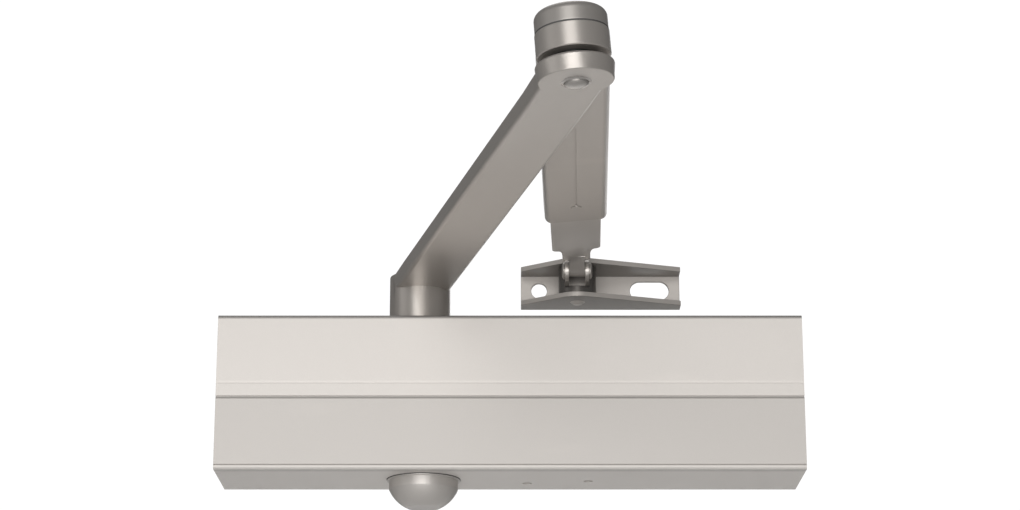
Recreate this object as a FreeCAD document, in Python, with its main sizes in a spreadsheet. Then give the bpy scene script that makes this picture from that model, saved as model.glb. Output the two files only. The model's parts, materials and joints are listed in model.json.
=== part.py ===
# Scissor arm door closer: a spring and oil cylinder in a slim cover, turned by a rack and pinion,
# with a main arm on the spindle, an adjustable forearm and a swivelling shoe for the door frame.
# Millimetres. X along the body, Y into the door, Z up. The origin is the centre of the four fixing
# holes on the back of the casting, which lies on the door.
import FreeCAD, Part
import math
import os
import re

import Sketcher

Vector = FreeCAD.Vector
Rotation = FreeCAD.Rotation
Placement = FreeCAD.Placement
X_AXIS, Y_AXIS, Z_AXIS = Vector(1, 0, 0), Vector(0, 1, 0), Vector(0, 0, 1)
ON_PLANE = 0.01

SIZES = {
    # cover: a thin aluminium box, open to the door
    "cover_length": 227,
    "cover_height": 61.1,
    "cover_depth": 41,
    "cover_wall": 2,
    "cover_back_gap": 0.5,
    "cover_fit": 0.4,
    "cover_top_radius": 1.8,
    "cover_bottom_radius": 1.3,
    "groove_height": 28.8,
    "groove_width": 0.8,
    "groove_depth": 0.7,
    "groove_chamfer": 0.4,
    "ledge_height": 33.8,
    "ledge_step": 0.15,
    "ledge_rise": 1.2,
    "edge_line_height": 1.75,
    "edge_line_width": 0.4,
    # casting
    "spindle_depth": 20,
    "bore_radius": 16,
    "lug_gap": 2.5,
    "lug_reach": 11,
    "barrel_height": 43,
    "barrel_corner": 9,
    "spindle_boss_radius": 17.6,
    "lug_height": 34,
    "lug_thick": 7,
    "lug_corner": 6,
    "fixing_hole_radius": 2.75,
    "fixing_inset": 6,
    "fixing_spacing_short": 19,
    # end plugs and their seals
    "plug_radius": 17,
    "plug_length": 9,
    "thread_gap": 0.05,
    "plug_groove_depth": 2.3,
    "plug_cord_radius": 1.1,
    "plug_socket": 10,
    "plug_socket_depth": 5,
    # glands, bearings and seals of the spindle
    "gland_radius": 13.5,
    "gland_clear": 0.3,
    "gland_lip": 1.2,
    "gland_cord_radius": 0.75,
    "bearing_radius": 10,
    "bearing_shoulder": 0.8,
    "bearing_chamfer": 1,
    "seal_height": 2.4,
    "seal_lip": 0.6,
    "seal_web": 0.8,
    # spindle
    "journal_radius": 7,
    "running_gap": 0.05,
    "square_side": 9.5,
    "square_gap": 0.04,
    "spindle_rise": 15.1,
    "spindle_drop": 6.4,
    "journal_rise": 0.4,
    # rack and pinion
    "gear_module": 2,
    "pinion_tooth_count": 10,
    "pressure_angle": 25,
    "flank_step_count": 4,
    "pinion_height": 18,
    "pinion_addendum": 1.8,
    "rack_addendum": 1.6,
    "root_gap": 0.45,
    "backlash": 0.12,
    "spindle_travel": 180,
    # piston
    "piston_head_left": 8.2,
    "piston_head_right": 12.4,
    "piston_rest_gap": 1,
    "window_gap": 0.8,
    "piston_ring_width": 2.4,
    "piston_ring_depth": 1.6,
    "piston_ring_gap": 0.03,
    "check_seat_radius": 3,
    "check_seat_length": 2.6,
    "check_ball_radius": 2,
    "check_cage_gap": 0.3,
    "check_port_radius": 1.2,
    # spring and its adjuster
    "spring_radius": 14.5,
    "spring_wire": 4.4,
    "spring_turns": 7,
    "spring_arcs_per_turn": 4,
    "spring_wire_flat_count": 8,
    "plate_rest_gap": 11,
    "spring_end_gap": 0.15,
    "spring_close_gap": 0.1,
    "plate_thick": 4,
    "plate_spigot_radius": 9.4,
    "plate_spigot_length": 8,
    "power_screw_radius": 4,
    "power_screw_length": 26,
    "power_screw_chamfer": 0.8,
    "power_collar_radius": 7,
    "power_collar_thick": 2,
    "power_socket": 5,
    "power_cord_radius": 0.6,
    "seal_gap": 0.02,
    # what all the seal rings share
    "cord_flat_count": 8,
    "seal_groove_ratio": 1.3,
    # regulating valves
    "closing_valve_reach": 42.5,
    "latching_valve_reach": 66.4,
    "closing_valve_depth": 13,
    "latching_valve_depth": 17,
    "valve_radius": 3,
    "valve_length": 9,
    "valve_boss_radius": 6,
    "valve_cord_radius": 0.42,
    "valve_access_radius": 1.8,
    # lower spindle cap
    "cap_aside": 2.1,
    "cap_flange_radius": 14.3,
    "cap_flange_thick": 0.7,
    "cap_radius": 13.45,
    "cap_side": 4,
    "cap_drop": 11.4,
    "cap_flat_radius": 6.3,
    "cap_floor_rise": 0.2,
    "cap_shoulder": 14,
    "cap_wall": 1.8,
    "cap_neck_radius": 12.3,
    # main arm
    "arm_length": 248,
    "arm_angle": 13,
    "arm_underside": 14.2,
    "arm_thick": 5.8,
    "arm_root_width": 23.2,
    "arm_head_width": 22,
    "arm_draft": 0.5,
    "arm_edge_radius": 0.9,
    "arm_under_radius": 1.8,
    "head_edge_radius": 0.5,
    "hub_radius": 12.05,
    "hub_drop": 1.5,
    "hub_rise": 0.4,
    "arm_straight": 24,
    "head_radius_top": 12.4,
    "head_radius_bottom": 11.9,
    "hub_screw_radius": 3,
    "hub_screw_head_radius": 5.2,
    "hub_screw_head": 2.2,
    "hub_screw_length": 14,
    "hub_screw_end_gap": 2,
    "hub_screw_sink": 0.2,
    "hub_screw_chamfer": 0.4,
    "hub_washer_radius": 6.6,
    "hub_washer_thick": 1.2,
    # elbow
    "elbow_lean": 4.5,
    "elbow_drop": 0.7,
    "elbow_gap": 2.2,
    "elbow_pin_radius": 4,
    "elbow_rivet_radius": 4.9,
    "elbow_rivet_rise": 2,
    "elbow_head_side": 1,
    "elbow_head_height": 1.8,
    "elbow_head_margin": 1.2,
    "elbow_spacer_radius": 7.5,
    "knuckle_radius": 11.65,
    "elbow_cap_radius": 11.45,
    "knuckle_height": 8,
    "bush_wall": 1.9,
    "bush_flange_radius": 8,
    "bush_flange_thick": 0.8,
    "bush_sink": 0.9,
    "elbow_cap_height": 6.85,
    "elbow_cap_round": 2.4,
    "elbow_cap_air": 0.6,
    "elbow_cap_skirt": 0.7,
    "elbow_line_chamfer": 0.35,
    # forearm
    "forearm_tube_end": 167.8,
    "forearm_width": 23.1,
    "forearm_height": 10.6,
    "forearm_wall": 2,
    "forearm_corner": 2.6,
    "forearm_channel_start": 34,
    "forearm_seam_start": 65,
    "forearm_seam_end": 150,
    "forearm_seam_width": 0.6,
    "forearm_seam_depth": 0.4,
    "slide_gap": 0.2,
    "bar_start": 68,
    "bar_neck_width": 10.9,
    "bar_shoulder_reach": 23.6,
    "bar_taper": 9,
    "bar_round": 2.4,
    "bar_hollow": 1.2,
    "bar_neck_stop": 7,
    "clamp_screw_place": 153,
    "clamp_screw_radius": 3,
    "clamp_boss_radius": 6,
    "clamp_boss_rise": 3,
    "clamp_head_radius": 5,
    "clamp_head_height": 4,
    "clamp_head_gap": 2,
    "clamp_head_chamfer": 0.6,
    "clamp_socket_floor": 1,
    # shoe joint
    "shoe_pin_reach": 62.8,
    "shoe_pin_depth": 13.6,
    "shoe_pin_radius": 2.5,
    "rivet_head_radius": 3.1,
    "rivet_head_rise": 1.2,
    "ear_pin_reach": 14.4,
    "ear_pin_rise": 0.9,
    "ear_slot_start": 8,
    "ear_pin_radius": 2.2,
    "ear_radius": 4.3,
    "ear_back": 12,
    "ear_top_drop": 0.4,
    "ear_foot_angle": 200,
    "ear_nose_angle": 60,
    "ear_top_angle": 101.5,
    "ear_rivet_margin": 1.2,
    "ear_spread": 9.6,
    "ear_slot": 6.5,
    "tongue_width": 6,
    "swivel_radius": 7.5,
    "swivel_gap": 0.1,
    # shoe
    "shoe_left": 22.6,
    "shoe_right": 41.8,
    "shoe_bottom": 12.5,
    "shoe_height": 16.1,
    "shoe_sheet": 2,
    "shoe_nose": 9.5,
    "shoe_nose_left_angle": 235,
    "shoe_nose_right_angle": 289.3,
    "shoe_end_depth": 9,
    "shoe_bend": 2.4,
    "shoe_hole_radius": 3.2,
    "shoe_hole_place": 15.2,
    "shoe_slot_length": 15.8,
    "shoe_slot_width": 7.8,
    "shoe_slot_place": 29.6,
}

doc = FreeCAD.newDocument("DoorCloser")
sheet = doc.addObject("Spreadsheet::Sheet", "dims")
for row, (alias, value) in enumerate(SIZES.items(), start=1):
    sheet.set(f"A{row}", alias)
    sheet.set(f"B{row}", str(value))
    sheet.setAlias(f"B{row}", alias)
doc.recompute()

# sizes that follow from the driving ones, as expressions on the sheet
COVER_TOP = "(cover_height / 2)"
CAST_HALF = "(cover_height / 2 - cover_wall - cover_fit)"
CAST_FRONT = "(cover_depth - cover_wall - cover_fit)"
LUG_LENGTH = "(cover_length - 2 * cover_wall - 2 * lug_gap)"
FIXING_HALF = f"({LUG_LENGTH} / 2 - fixing_inset)"
PLUG_FACE = f"({LUG_LENGTH} / 2 - lug_reach)"
PLUG_INNER = f"({PLUG_FACE} - plug_length)"
SPINDLE_TOP = f"({COVER_TOP} + spindle_rise)"
SPINDLE_FOOT = f"({COVER_TOP} + spindle_drop)"
JOURNAL_END = f"({CAST_HALF} + journal_rise)"
GLAND_BOTTOM = "(bore_radius + gland_clear)"
SEAL_TOP = f"({CAST_HALF} - gland_lip)"
SEAL_FOOT = f"({SEAL_TOP} - seal_height)"
PITCH_RADIUS = "(pinion_tooth_count * gear_module / 2)"
TIP_RADIUS = f"({PITCH_RADIUS} + pinion_addendum)"
TOOTH_PITCH = "(pi * gear_module)"
STROKE = f"({PITCH_RADIUS} * spindle_travel * pi / 180)"
PISTON_LEFT = f"(piston_rest_gap - {PLUG_INNER})"
WINDOW_LEFT = f"({PISTON_LEFT} + piston_head_left)"
SPINDLE_X = f"({WINDOW_LEFT} + window_gap + {STROKE} + {TIP_RADIUS})"
CLOSING_VALVE_X = f"({SPINDLE_X} + closing_valve_reach)"
LATCHING_VALVE_X = f"({SPINDLE_X} + latching_valve_reach)"
SHOE_PIN_X = f"({SPINDLE_X} + shoe_pin_reach)"
WINDOW_HALF = f"({TIP_RADIUS} + window_gap)"
WINDOW_RIGHT = f"({SPINDLE_X} + {WINDOW_HALF})"
PISTON_RIGHT = f"({WINDOW_RIGHT} + piston_head_right)"
PLATE_FACE = f"({PLUG_INNER} - plate_rest_gap)"
SPRING_LENGTH = f"({PLATE_FACE} - {PISTON_RIGHT} - 2 * spring_end_gap)"
RACK_TIP = f"({PITCH_RADIUS} - rack_addendum)"
RACK_ROOT = f"({TIP_RADIUS} + root_gap)"
ARM_BOTTOM = f"({COVER_TOP} + arm_underside)"
ARM_TOP = f"({COVER_TOP} + arm_underside + arm_thick)"
HUB_BOTTOM = f"({COVER_TOP} - hub_drop)"
SHOE_MIDDLE = f"({COVER_TOP} + shoe_bottom + shoe_height / 2)"
KNUCKLE_BOTTOM = "(arm_thick / 2 + elbow_gap)"
KNUCKLE_TOP = f"({KNUCKLE_BOTTOM} + knuckle_height)"
BAR_WIDTH = "(forearm_width - 2 * forearm_wall - 2 * slide_gap)"
BAR_THICK = "(forearm_height - 2 * forearm_wall - 2 * slide_gap)"
BAR_BOTTOM = f"({KNUCKLE_BOTTOM} + forearm_wall + slide_gap)"
BAR_TOP = f"({BAR_BOTTOM} + {BAR_THICK})"

parts = {}
ALIAS = re.compile(r"[a-z][a-z_]+")


def bind(text):
    """The expression with every alias pointed at the sheet."""

    def pointed(word):
        return f"dims.{word.group()}" if word.group() in SIZES else word.group()

    return ALIAS.sub(pointed, str(text))


def size(text):
    """The present value of an expression on the sheet."""
    return float(sheet.evalExpression(bind(text)))


def keep(name, item):
    """Gives a finished piece its label and lists it for export."""
    item.Label = name
    parts[name] = item
    return item


def new_body(name):
    return keep(name, doc.addObject("PartDesign::Body", name.title().replace("_", "")))


def seat_for(plane, frame):
    """The attachment offset that puts a sketch on a plane's copy in another frame."""
    upright = Rotation(X_AXIS, 90) if plane == "XZ_Plane" else Rotation(Vector(1, 1, 1), 120)
    standing = Placement(Vector(), upright)
    return standing.inverse().multiply(frame).multiply(standing)


def sketch_on(owner, plane, offset="0", seat=None):
    """A sketch on one of the body's own origin planes, at an offset or on a tilted seat."""
    sketch = owner.newObject("Sketcher::SketchObject", f"{owner.Name}Sketch")
    origin_plane = next(item for item in owner.Origin.OriginFeatures if item.Role == plane)
    sketch.AttachmentSupport = (origin_plane, [""])
    sketch.MapMode = "FlatFace"
    if seat is not None:
        sketch.AttachmentOffset = seat
    else:
        sketch.setExpression("AttachmentOffset.Base.z", bind(offset))
    return sketch


def fix(sketch, *constraint_and_text):
    """Adds one constraint whose value is bound to an expression."""
    *constraint, text = constraint_and_text
    index = sketch.addConstraint(Sketcher.Constraint(*constraint, size(text)))
    sketch.setExpression(f"Constraints[{index}]", bind(text))


def outline(sketch, corners):
    """A closed loop. A corner is (x, y), or (x, y, radius, side) where an arc leaves it: side 1 turns
    anticlockwise, -1 clockwise."""
    start = sketch.GeometryCount
    points = [Vector(size(corner[0]), size(corner[1]), 0) for corner in corners]
    ends = []
    for index, corner in enumerate(corners):
        here, there = points[index], points[(index + 1) % len(points)]
        if len(corner) == 2:
            sketch.addGeometry(Part.LineSegment(here, there))
            ends.append((1, 2))
            continue
        radius, side = size(corner[2]), corner[3]
        chord = there - here
        left = Vector(-chord.y, chord.x, 0) / chord.Length
        rise = math.sqrt(max(radius**2 - chord.Length**2 / 4, 0))
        centre = (here + there) / 2 + left * side * rise
        first, last = (here, there) if side > 0 else (there, here)
        angles = [math.atan2(end.y - centre.y, end.x - centre.x) for end in (first, last)]
        sketch.addGeometry(Part.ArcOfCircle(Part.Circle(centre, Z_AXIS, radius), *angles))
        ends.append((1, 2) if side > 0 else (2, 1))
    for index, corner in enumerate(corners):
        following = (index + 1) % len(corners)
        edge, next_edge = start + index, start + following
        sketch.addConstraint(
            Sketcher.Constraint("Coincident", edge, ends[index][1], next_edge, ends[following][0])
        )
        fix(sketch, "DistanceX", edge, ends[index][0], corner[0])
        fix(sketch, "DistanceY", edge, ends[index][0], corner[1])
        if len(corner) > 2:
            fix(sketch, "Radius", edge, corner[2])


def circle(sketch, x, y, radius):
    edge = sketch.addGeometry(Part.Circle(Vector(size(x), size(y), 0), Z_AXIS, size(radius)))
    fix(sketch, "DistanceX", edge, 3, x)
    fix(sketch, "DistanceY", edge, 3, y)
    fix(sketch, "Radius", edge, radius)


def rectangle(sketch, x_low, y_low, x_high, y_high):
    outline(sketch, [(x_low, y_low), (x_high, y_low), (x_high, y_high), (x_low, y_high)])


def pad(owner, sketch, length):
    feature = owner.newObject("PartDesign::Pad", f"{owner.Name}Pad")
    feature.Profile = sketch
    feature.setExpression("Length", bind(length))
    return feature


def cut(owner, sketch, length):
    """A pocket that runs the way a pad on the same sketch would."""
    feature = owner.newObject("PartDesign::Pocket", f"{owner.Name}Pocket")
    feature.Profile = sketch
    feature.Reversed = True
    feature.setExpression("Length", bind(length))
    return feature


def revolve(owner, corners, seat=None):
    sketch = sketch_on(owner, "XZ_Plane", seat=seat or Placement())
    outline(sketch, corners)
    feature = owner.newObject("PartDesign::Revolution", f"{owner.Name}Turn")
    feature.Profile = sketch
    feature.ReferenceAxis = (sketch, ["V_Axis"])
    feature.Angle = 360
    return feature


def turned(name, corners):
    """A piece turned about its own Z axis, from corners of radius and height."""
    owner = new_body(name)
    revolve(owner, corners)
    return owner


def hexagon(sketch, across, y="0"):
    """A hexagon of a given width across flats, centred on the sketch's origin."""
    corner = f"({across} / 2 / cos(30 deg))"
    outline(
        sketch,
        [
            (corner, y),
            (f"{corner} / 2", f"{across} / 2"),
            (f"-{corner} / 2", f"{across} / 2"),
            (f"-{corner}", y),
            (f"-{corner} / 2", f"-{across} / 2"),
            (f"{corner} / 2", f"-{across} / 2"),
        ],
    )


def on_circle(radius, angle):
    """The corner at an angle on a circle about the sketch's origin."""
    return f"{radius} * cos({angle} * 1 deg)", f"{radius} * sin({angle} * 1 deg)"


def round_edges(owner, base, radius, chosen):
    """Fillets the edges of a feature that a test picks."""
    doc.recompute()
    names = [f"Edge{index}" for index, edge in enumerate(base.Shape.Edges, start=1) if chosen(edge)]
    feature = owner.newObject("PartDesign::Fillet", f"{owner.Name}Fillet")
    feature.Base = (base, names)
    feature.setExpression("Radius", bind(radius))
    return feature


def place(item, x="0", y="0", z="0", turn=None):
    """Puts a piece at expressions of the sheet, turned about its own origin."""
    item.Placement = Placement(Vector(), turn or Rotation())
    for axis, text in zip("xyz", (x, y, z)):
        item.setExpression(f"Placement.Base.{axis}", bind(text))
    return item


def o_ring(name, radius, cord):
    """A seal ring about Z, its round cord drawn with flats that touch the real one."""
    ring = doc.addObject("PartDesign::Body", name)
    corner_radius = f"{cord} / cos(180 deg / cord_flat_count)"
    corners = []
    for index in range(round(size("cord_flat_count"))):
        across, up = on_circle(corner_radius, f"({index} + 1 / 2) * 360 / cord_flat_count")
        corners.append((f"{radius} + {across}", up))
    revolve(ring, corners)
    return ring


def group(name, pieces):
    """Identical pieces that share one node."""
    compound = doc.addObject("Part::Compound", name.title().replace("_", ""))
    compound.Links = pieces
    return keep(name, compound)


ALONG_X = Rotation(Y_AXIS, 90)
AGAINST_X = Rotation(Y_AXIS, -90)
UPSIDE_DOWN = Rotation(X_AXIS, 180)
SPINDLE = (SPINDLE_X, "-spindle_depth")
VALVES = (
    ("closing_valve", CLOSING_VALVE_X, "-closing_valve_depth"),
    ("latching_valve", LATCHING_VALVE_X, "-latching_valve_depth"),
)


def make_cover():
    """The extruded front profile with closed ends, hollow behind."""
    cover = new_body("cover")
    section = sketch_on(cover, "YZ_Plane", "-cover_length / 2")
    front, bottom = "-cover_depth", f"-{COVER_TOP}"
    ledge = f"{bottom} + ledge_height"
    groove = f"{bottom} + groove_height"
    line = f"{bottom} + edge_line_height"
    outline(
        section,
        [
            ("-cover_back_gap", bottom),
            ("-cover_back_gap", COVER_TOP),
            (f"{front} + cover_top_radius", COVER_TOP, "cover_top_radius", 1),
            (front, f"{COVER_TOP} - cover_top_radius"),
            (front, f"{ledge} + ledge_rise"),
            (f"{front} + ledge_step", ledge),
            (front, f"{ledge} - ledge_step"),
            (front, groove),
            (f"{front} + groove_depth", groove),
            (f"{front} + groove_depth", f"{groove} - groove_width"),
            (f"{front} + groove_chamfer", f"{groove} - groove_width"),
            (front, f"{groove} - groove_width - groove_chamfer"),
            (front, f"{line} + edge_line_width / 2"),
            (f"{front} + edge_line_width", line),
            (front, f"{line} - edge_line_width / 2"),
            (front, f"{bottom} + cover_bottom_radius", "cover_bottom_radius", 1),
            (f"{front} + cover_bottom_radius", bottom),
        ],
    )
    pad(cover, section, "cover_length")
    hollow = sketch_on(cover, "YZ_Plane", "-cover_length / 2 + cover_wall")
    inside = f"{COVER_TOP} - cover_wall"
    rectangle(hollow, f"{front} + cover_wall", f"-({inside})", "0", inside)
    cut(cover, hollow, "cover_length - 2 * cover_wall")
    top_hole = sketch_on(cover, "XY_Plane", f"{COVER_TOP} - 2 * cover_wall")
    circle(top_hole, *SPINDLE, "hub_radius + 2 * cover_fit")
    cut(cover, top_hole, "4 * cover_wall")
    low_holes = sketch_on(cover, "XY_Plane", f"-{COVER_TOP} - 2 * cover_wall")
    circle(low_holes, f"{SPINDLE_X} + cap_aside", "-spindle_depth", "cap_neck_radius + cover_fit / 2")
    for _, *valve_place in VALVES:
        circle(low_holes, *valve_place, "valve_access_radius")
    cut(cover, low_holes, "4 * cover_wall")


def make_casting():
    """The cylinder casting: barrel, spindle bosses, valve bosses and fixing lugs."""
    casting = new_body("closer_body")
    section = sketch_on(casting, "YZ_Plane", f"-{PLUG_FACE}")
    half, front = "barrel_height / 2", f"-{CAST_FRONT}"
    outline(
        section,
        [
            ("0", f"-{half}"),
            ("0", half),
            (f"{front} + barrel_corner", half, "barrel_corner", 1),
            (front, f"{half} - barrel_corner"),
            (front, f"-({half} - barrel_corner)", "barrel_corner", 1),
            (f"{front} + barrel_corner", f"-{half}"),
        ],
    )
    pad(casting, section, f"2 * {PLUG_FACE}")
    boss = sketch_on(casting, "XY_Plane", f"-{CAST_HALF}")
    circle(boss, *SPINDLE, "spindle_boss_radius")
    pad(casting, boss, f"2 * {CAST_HALF}")
    for _, *valve_place in VALVES:
        valve_boss = sketch_on(casting, "XY_Plane", f"-{CAST_HALF}")
        circle(valve_boss, *valve_place, "valve_boss_radius")
        pad(casting, valve_boss, f"{CAST_HALF} - bore_radius + spring_wire")
    lugs = sketch_on(casting, "XZ_Plane")
    wide, high = f"{LUG_LENGTH} / 2", "lug_height / 2"
    outline(
        lugs,
        [
            (f"-({wide} - lug_corner)", f"-{high}"),
            (f"{wide} - lug_corner", f"-{high}", "lug_corner", 1),
            (wide, f"-({high} - lug_corner)"),
            (wide, f"{high} - lug_corner", "lug_corner", 1),
            (f"{wide} - lug_corner", high),
            (f"-({wide} - lug_corner)", high, "lug_corner", 1),
            (f"-{wide}", f"{high} - lug_corner"),
            (f"-{wide}", f"-({high} - lug_corner)", "lug_corner", 1),
        ],
    )
    pad(casting, lugs, "lug_thick")
    bore = sketch_on(casting, "YZ_Plane", f"-{PLUG_FACE}")
    circle(bore, "-spindle_depth", "0", "bore_radius")
    cut(casting, bore, f"2 * {PLUG_FACE}")
    for start in (f"-{PLUG_FACE}", PLUG_INNER):
        seat = sketch_on(casting, "YZ_Plane", start)
        circle(seat, "-spindle_depth", "0", "plug_radius")
        cut(casting, seat, "plug_length")
    spindle_bore = sketch_on(casting, "XY_Plane", f"-{CAST_HALF}")
    circle(spindle_bore, *SPINDLE, "gland_radius")
    cut(casting, spindle_bore, f"2 * {CAST_HALF}")
    valves = sketch_on(casting, "XY_Plane", f"-{CAST_HALF}")
    for _, *valve_place in VALVES:
        circle(valves, *valve_place, "valve_radius + running_gap")
    cut(casting, valves, "valve_length + running_gap")
    holes = sketch_on(casting, "XZ_Plane")
    for side_x in ("", "-"):
        for side_z in ("", "-"):
            circle(holes, f"{side_x}{FIXING_HALF}", f"{side_z}fixing_spacing_short / 2", "fixing_hole_radius")
    cut(casting, holes, "lug_thick")


def plug_corners(bore=None):
    """Section of an end plug: thread, seal groove and, where stated, a hole for the power screw."""
    outer = "plug_radius - thread_gap"
    groove = "plug_radius - plug_groove_depth"
    low = "plug_length / 4"
    high = f"{low} + 2 * seal_groove_ratio * plug_cord_radius"
    inner = bore or "0"
    return [
        (inner, "0"),
        (outer, "0"),
        (outer, low),
        (groove, low),
        (groove, high),
        (outer, high),
        (outer, "plug_length"),
        (inner, "plug_length"),
    ]


def make_plugs():
    """Both end plugs, with the thread outside and the seal inside, and their O-rings."""
    left = turned("end_plug_left", plug_corners())
    socket = sketch_on(left, "XY_Plane", "plug_length - plug_socket_depth")
    hexagon(socket, "plug_socket")
    cut(left, socket, "plug_socket_depth")
    place(left, f"-{PLUG_INNER}", "-spindle_depth", turn=AGAINST_X)
    right = turned("end_plug_right", plug_corners("power_screw_radius + running_gap"))
    place(right, PLUG_INNER, "-spindle_depth", turn=ALONG_X)
    middle = f"({PLUG_INNER} + plug_length / 4 + seal_groove_ratio * plug_cord_radius)"
    rings = []
    for name, ring_x in (("PlugRingLeft", f"-{middle}"), ("PlugRingRight", middle)):
        ring = o_ring(name, "plug_radius - plug_groove_depth / 2", "plug_cord_radius")
        rings.append(place(ring, ring_x, "-spindle_depth", turn=ALONG_X))
    group("plug_seals", rings)


def make_glands():
    """Threaded glands that carry the spindle's needle bearings and lip seals."""
    outer = "gland_radius - thread_gap"
    seat = "bearing_radius"
    groove = f"{outer} - 2 * gland_cord_radius - 4 * seal_gap"
    low = f"{GLAND_BOTTOM} + gland_lip"
    high = f"{low} + 2 * seal_groove_ratio * gland_cord_radius"
    gland = [
        (seat, GLAND_BOTTOM),
        (outer, GLAND_BOTTOM),
        (outer, low),
        (groove, low),
        (groove, high),
        (outer, high),
        (outer, CAST_HALF),
        ("journal_radius + gland_lip", CAST_HALF),
        ("journal_radius + gland_lip", SEAL_TOP),
        (seat, SEAL_TOP),
    ]
    ring_radius = "bearing_radius - thread_gap"
    bearing_top = f"{SEAL_FOOT} - thread_gap"
    bearing_foot = f"{GLAND_BOTTOM} + bearing_shoulder"
    bearing_bore = "journal_radius + running_gap"
    cage = f"{bearing_bore} + bearing_chamfer"
    bearing = [
        (bearing_bore, f"{bearing_foot} + bearing_chamfer"),
        (cage, f"{bearing_foot} + bearing_chamfer"),
        (cage, bearing_foot),
        (ring_radius, bearing_foot),
        (ring_radius, bearing_top),
        (cage, bearing_top),
        (cage, f"{bearing_top} - bearing_chamfer"),
        (bearing_bore, f"{bearing_top} - bearing_chamfer"),
    ]
    lip = "journal_radius + running_gap"
    seal = [
        (lip, SEAL_FOOT),
        (f"{lip} + seal_lip", SEAL_FOOT),
        (f"{lip} + 2 * seal_lip", f"{SEAL_FOOT} + seal_height / 2"),
        (f"{ring_radius} - seal_web", f"{SEAL_FOOT} + seal_height / 2"),
        (f"{ring_radius} - seal_web", SEAL_FOOT),
        (ring_radius, SEAL_FOOT),
        (ring_radius, SEAL_TOP),
        (f"{lip} + seal_web", SEAL_TOP),
        (lip, f"{SEAL_FOOT} + seal_height / 4"),
    ]
    pieces = (("gland", gland), ("bearing", bearing), ("shaft_seal", seal))
    for end, turn in (("upper", Rotation()), ("lower", UPSIDE_DOWN)):
        for name, corners in pieces:
            place(turned(f"{end}_{name}", corners), *SPINDLE, turn=turn)
    rings = []
    ring_height = f"({low} + seal_groove_ratio * gland_cord_radius)"
    for name, ring_z in (("GlandRingUpper", ring_height), ("GlandRingLower", f"-{ring_height}")):
        ring = o_ring(name, f"{outer} - gland_cord_radius - seal_gap", "gland_cord_radius")
        rings.append(place(ring, *SPINDLE, ring_z))
    group("gland_seals", rings)


def involute_angle(base_radius, radius):
    """The angle by which an involute has swung from its start when it reaches a radius."""
    pressure = math.acos(min(1, base_radius / radius))
    return math.tan(pressure) - pressure


def polar(radius, angle):
    return Vector(radius * math.cos(angle), radius * math.sin(angle), 0)


def make_pinion_teeth():
    """The involute teeth, one of them centred on the rack at rest."""
    teeth, pressure = round(size("pinion_tooth_count")), math.radians(size("pressure_angle"))
    steps = round(size("flank_step_count"))
    pitch_radius = size(PITCH_RADIUS)
    base_radius = pitch_radius * math.cos(pressure)
    tip_radius = size(TIP_RADIUS)
    root_radius = size(f"{RACK_TIP} - root_gap")
    start_radius = max(base_radius, root_radius)
    half_pitch = (math.pi * pitch_radius / teeth - size("backlash") / 2) / 2 / pitch_radius
    half_base = half_pitch + involute_angle(base_radius, pitch_radius)
    rise = (tip_radius - start_radius) / steps
    radii = [start_radius + rise * step for step in range(steps + 1)]
    half_angles = [half_base - involute_angle(base_radius, radius) for radius in radii]
    edges = []
    for tooth in range(teeth):
        middle = -math.pi / 2 + tooth * 2 * math.pi / teeth
        following = middle + 2 * math.pi / teeth
        rising = [polar(radius, middle - half) for radius, half in zip(radii, half_angles)]
        falling = [polar(radius, middle + half) for radius, half in zip(radii, half_angles)]
        foot, next_foot = middle + half_angles[0], following - half_angles[0]
        for side in (rising, falling):
            flank = Part.BSplineCurve()
            flank.interpolate(side)
            edges.append(flank.toShape())
        edges.append(Part.Arc(rising[-1], polar(tip_radius, middle), falling[-1]).toShape())
        edges.append(Part.makeLine(falling[0], polar(root_radius, foot)))
        root_middle = polar(root_radius, (foot + next_foot) / 2)
        root = Part.Arc(polar(root_radius, foot), root_middle, polar(root_radius, next_foot))
        edges.append(root.toShape())
        edges.append(Part.makeLine(polar(root_radius, next_foot), polar(start_radius, next_foot)))
    wire = Part.Wire(Part.__sortEdges__(edges))
    height = size("pinion_height")
    gear = doc.addObject("Part::Feature", "PinionTeeth")
    gear.Shape = Part.Face(wire).extrude(Vector(0, 0, height))
    gear.Placement = Placement(Vector(0, 0, -height / 2), Rotation())
    return gear


def make_pinion_shaft():
    """The spindle: two journals, a square at each end and the pinion between them."""
    blank = doc.addObject("PartDesign::Body", "SpindleBlank")
    screw_bore = "hub_screw_radius"
    bore_foot = f"{SPINDLE_TOP} - hub_screw_length"
    revolve(
        blank,
        [
            ("0", f"-{JOURNAL_END}"),
            ("journal_radius", f"-{JOURNAL_END}"),
            ("journal_radius", JOURNAL_END),
            ("0", JOURNAL_END),
        ],
    )
    square_seat = Placement(Vector(0, 0, -size(SPINDLE_FOOT)), Rotation(Z_AXIS, size("arm_angle")))
    square = sketch_on(blank, "XY_Plane", seat=square_seat)
    half = "square_side / 2"
    rectangle(square, f"-{half}", f"-{half}", half, half)
    pad(blank, square, f"{SPINDLE_FOOT} + {SPINDLE_TOP}")
    hole = sketch_on(blank, "XY_Plane", bore_foot)
    circle(hole, "0", "0", f"{screw_bore} + thread_gap")
    cut(blank, hole, "hub_screw_length")
    shaft = doc.addObject("Part::Fuse", "PinionShaft")
    shaft.Base = blank
    shaft.Tool = make_pinion_teeth()
    place(keep("pinion_shaft", shaft), *SPINDLE)


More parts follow.
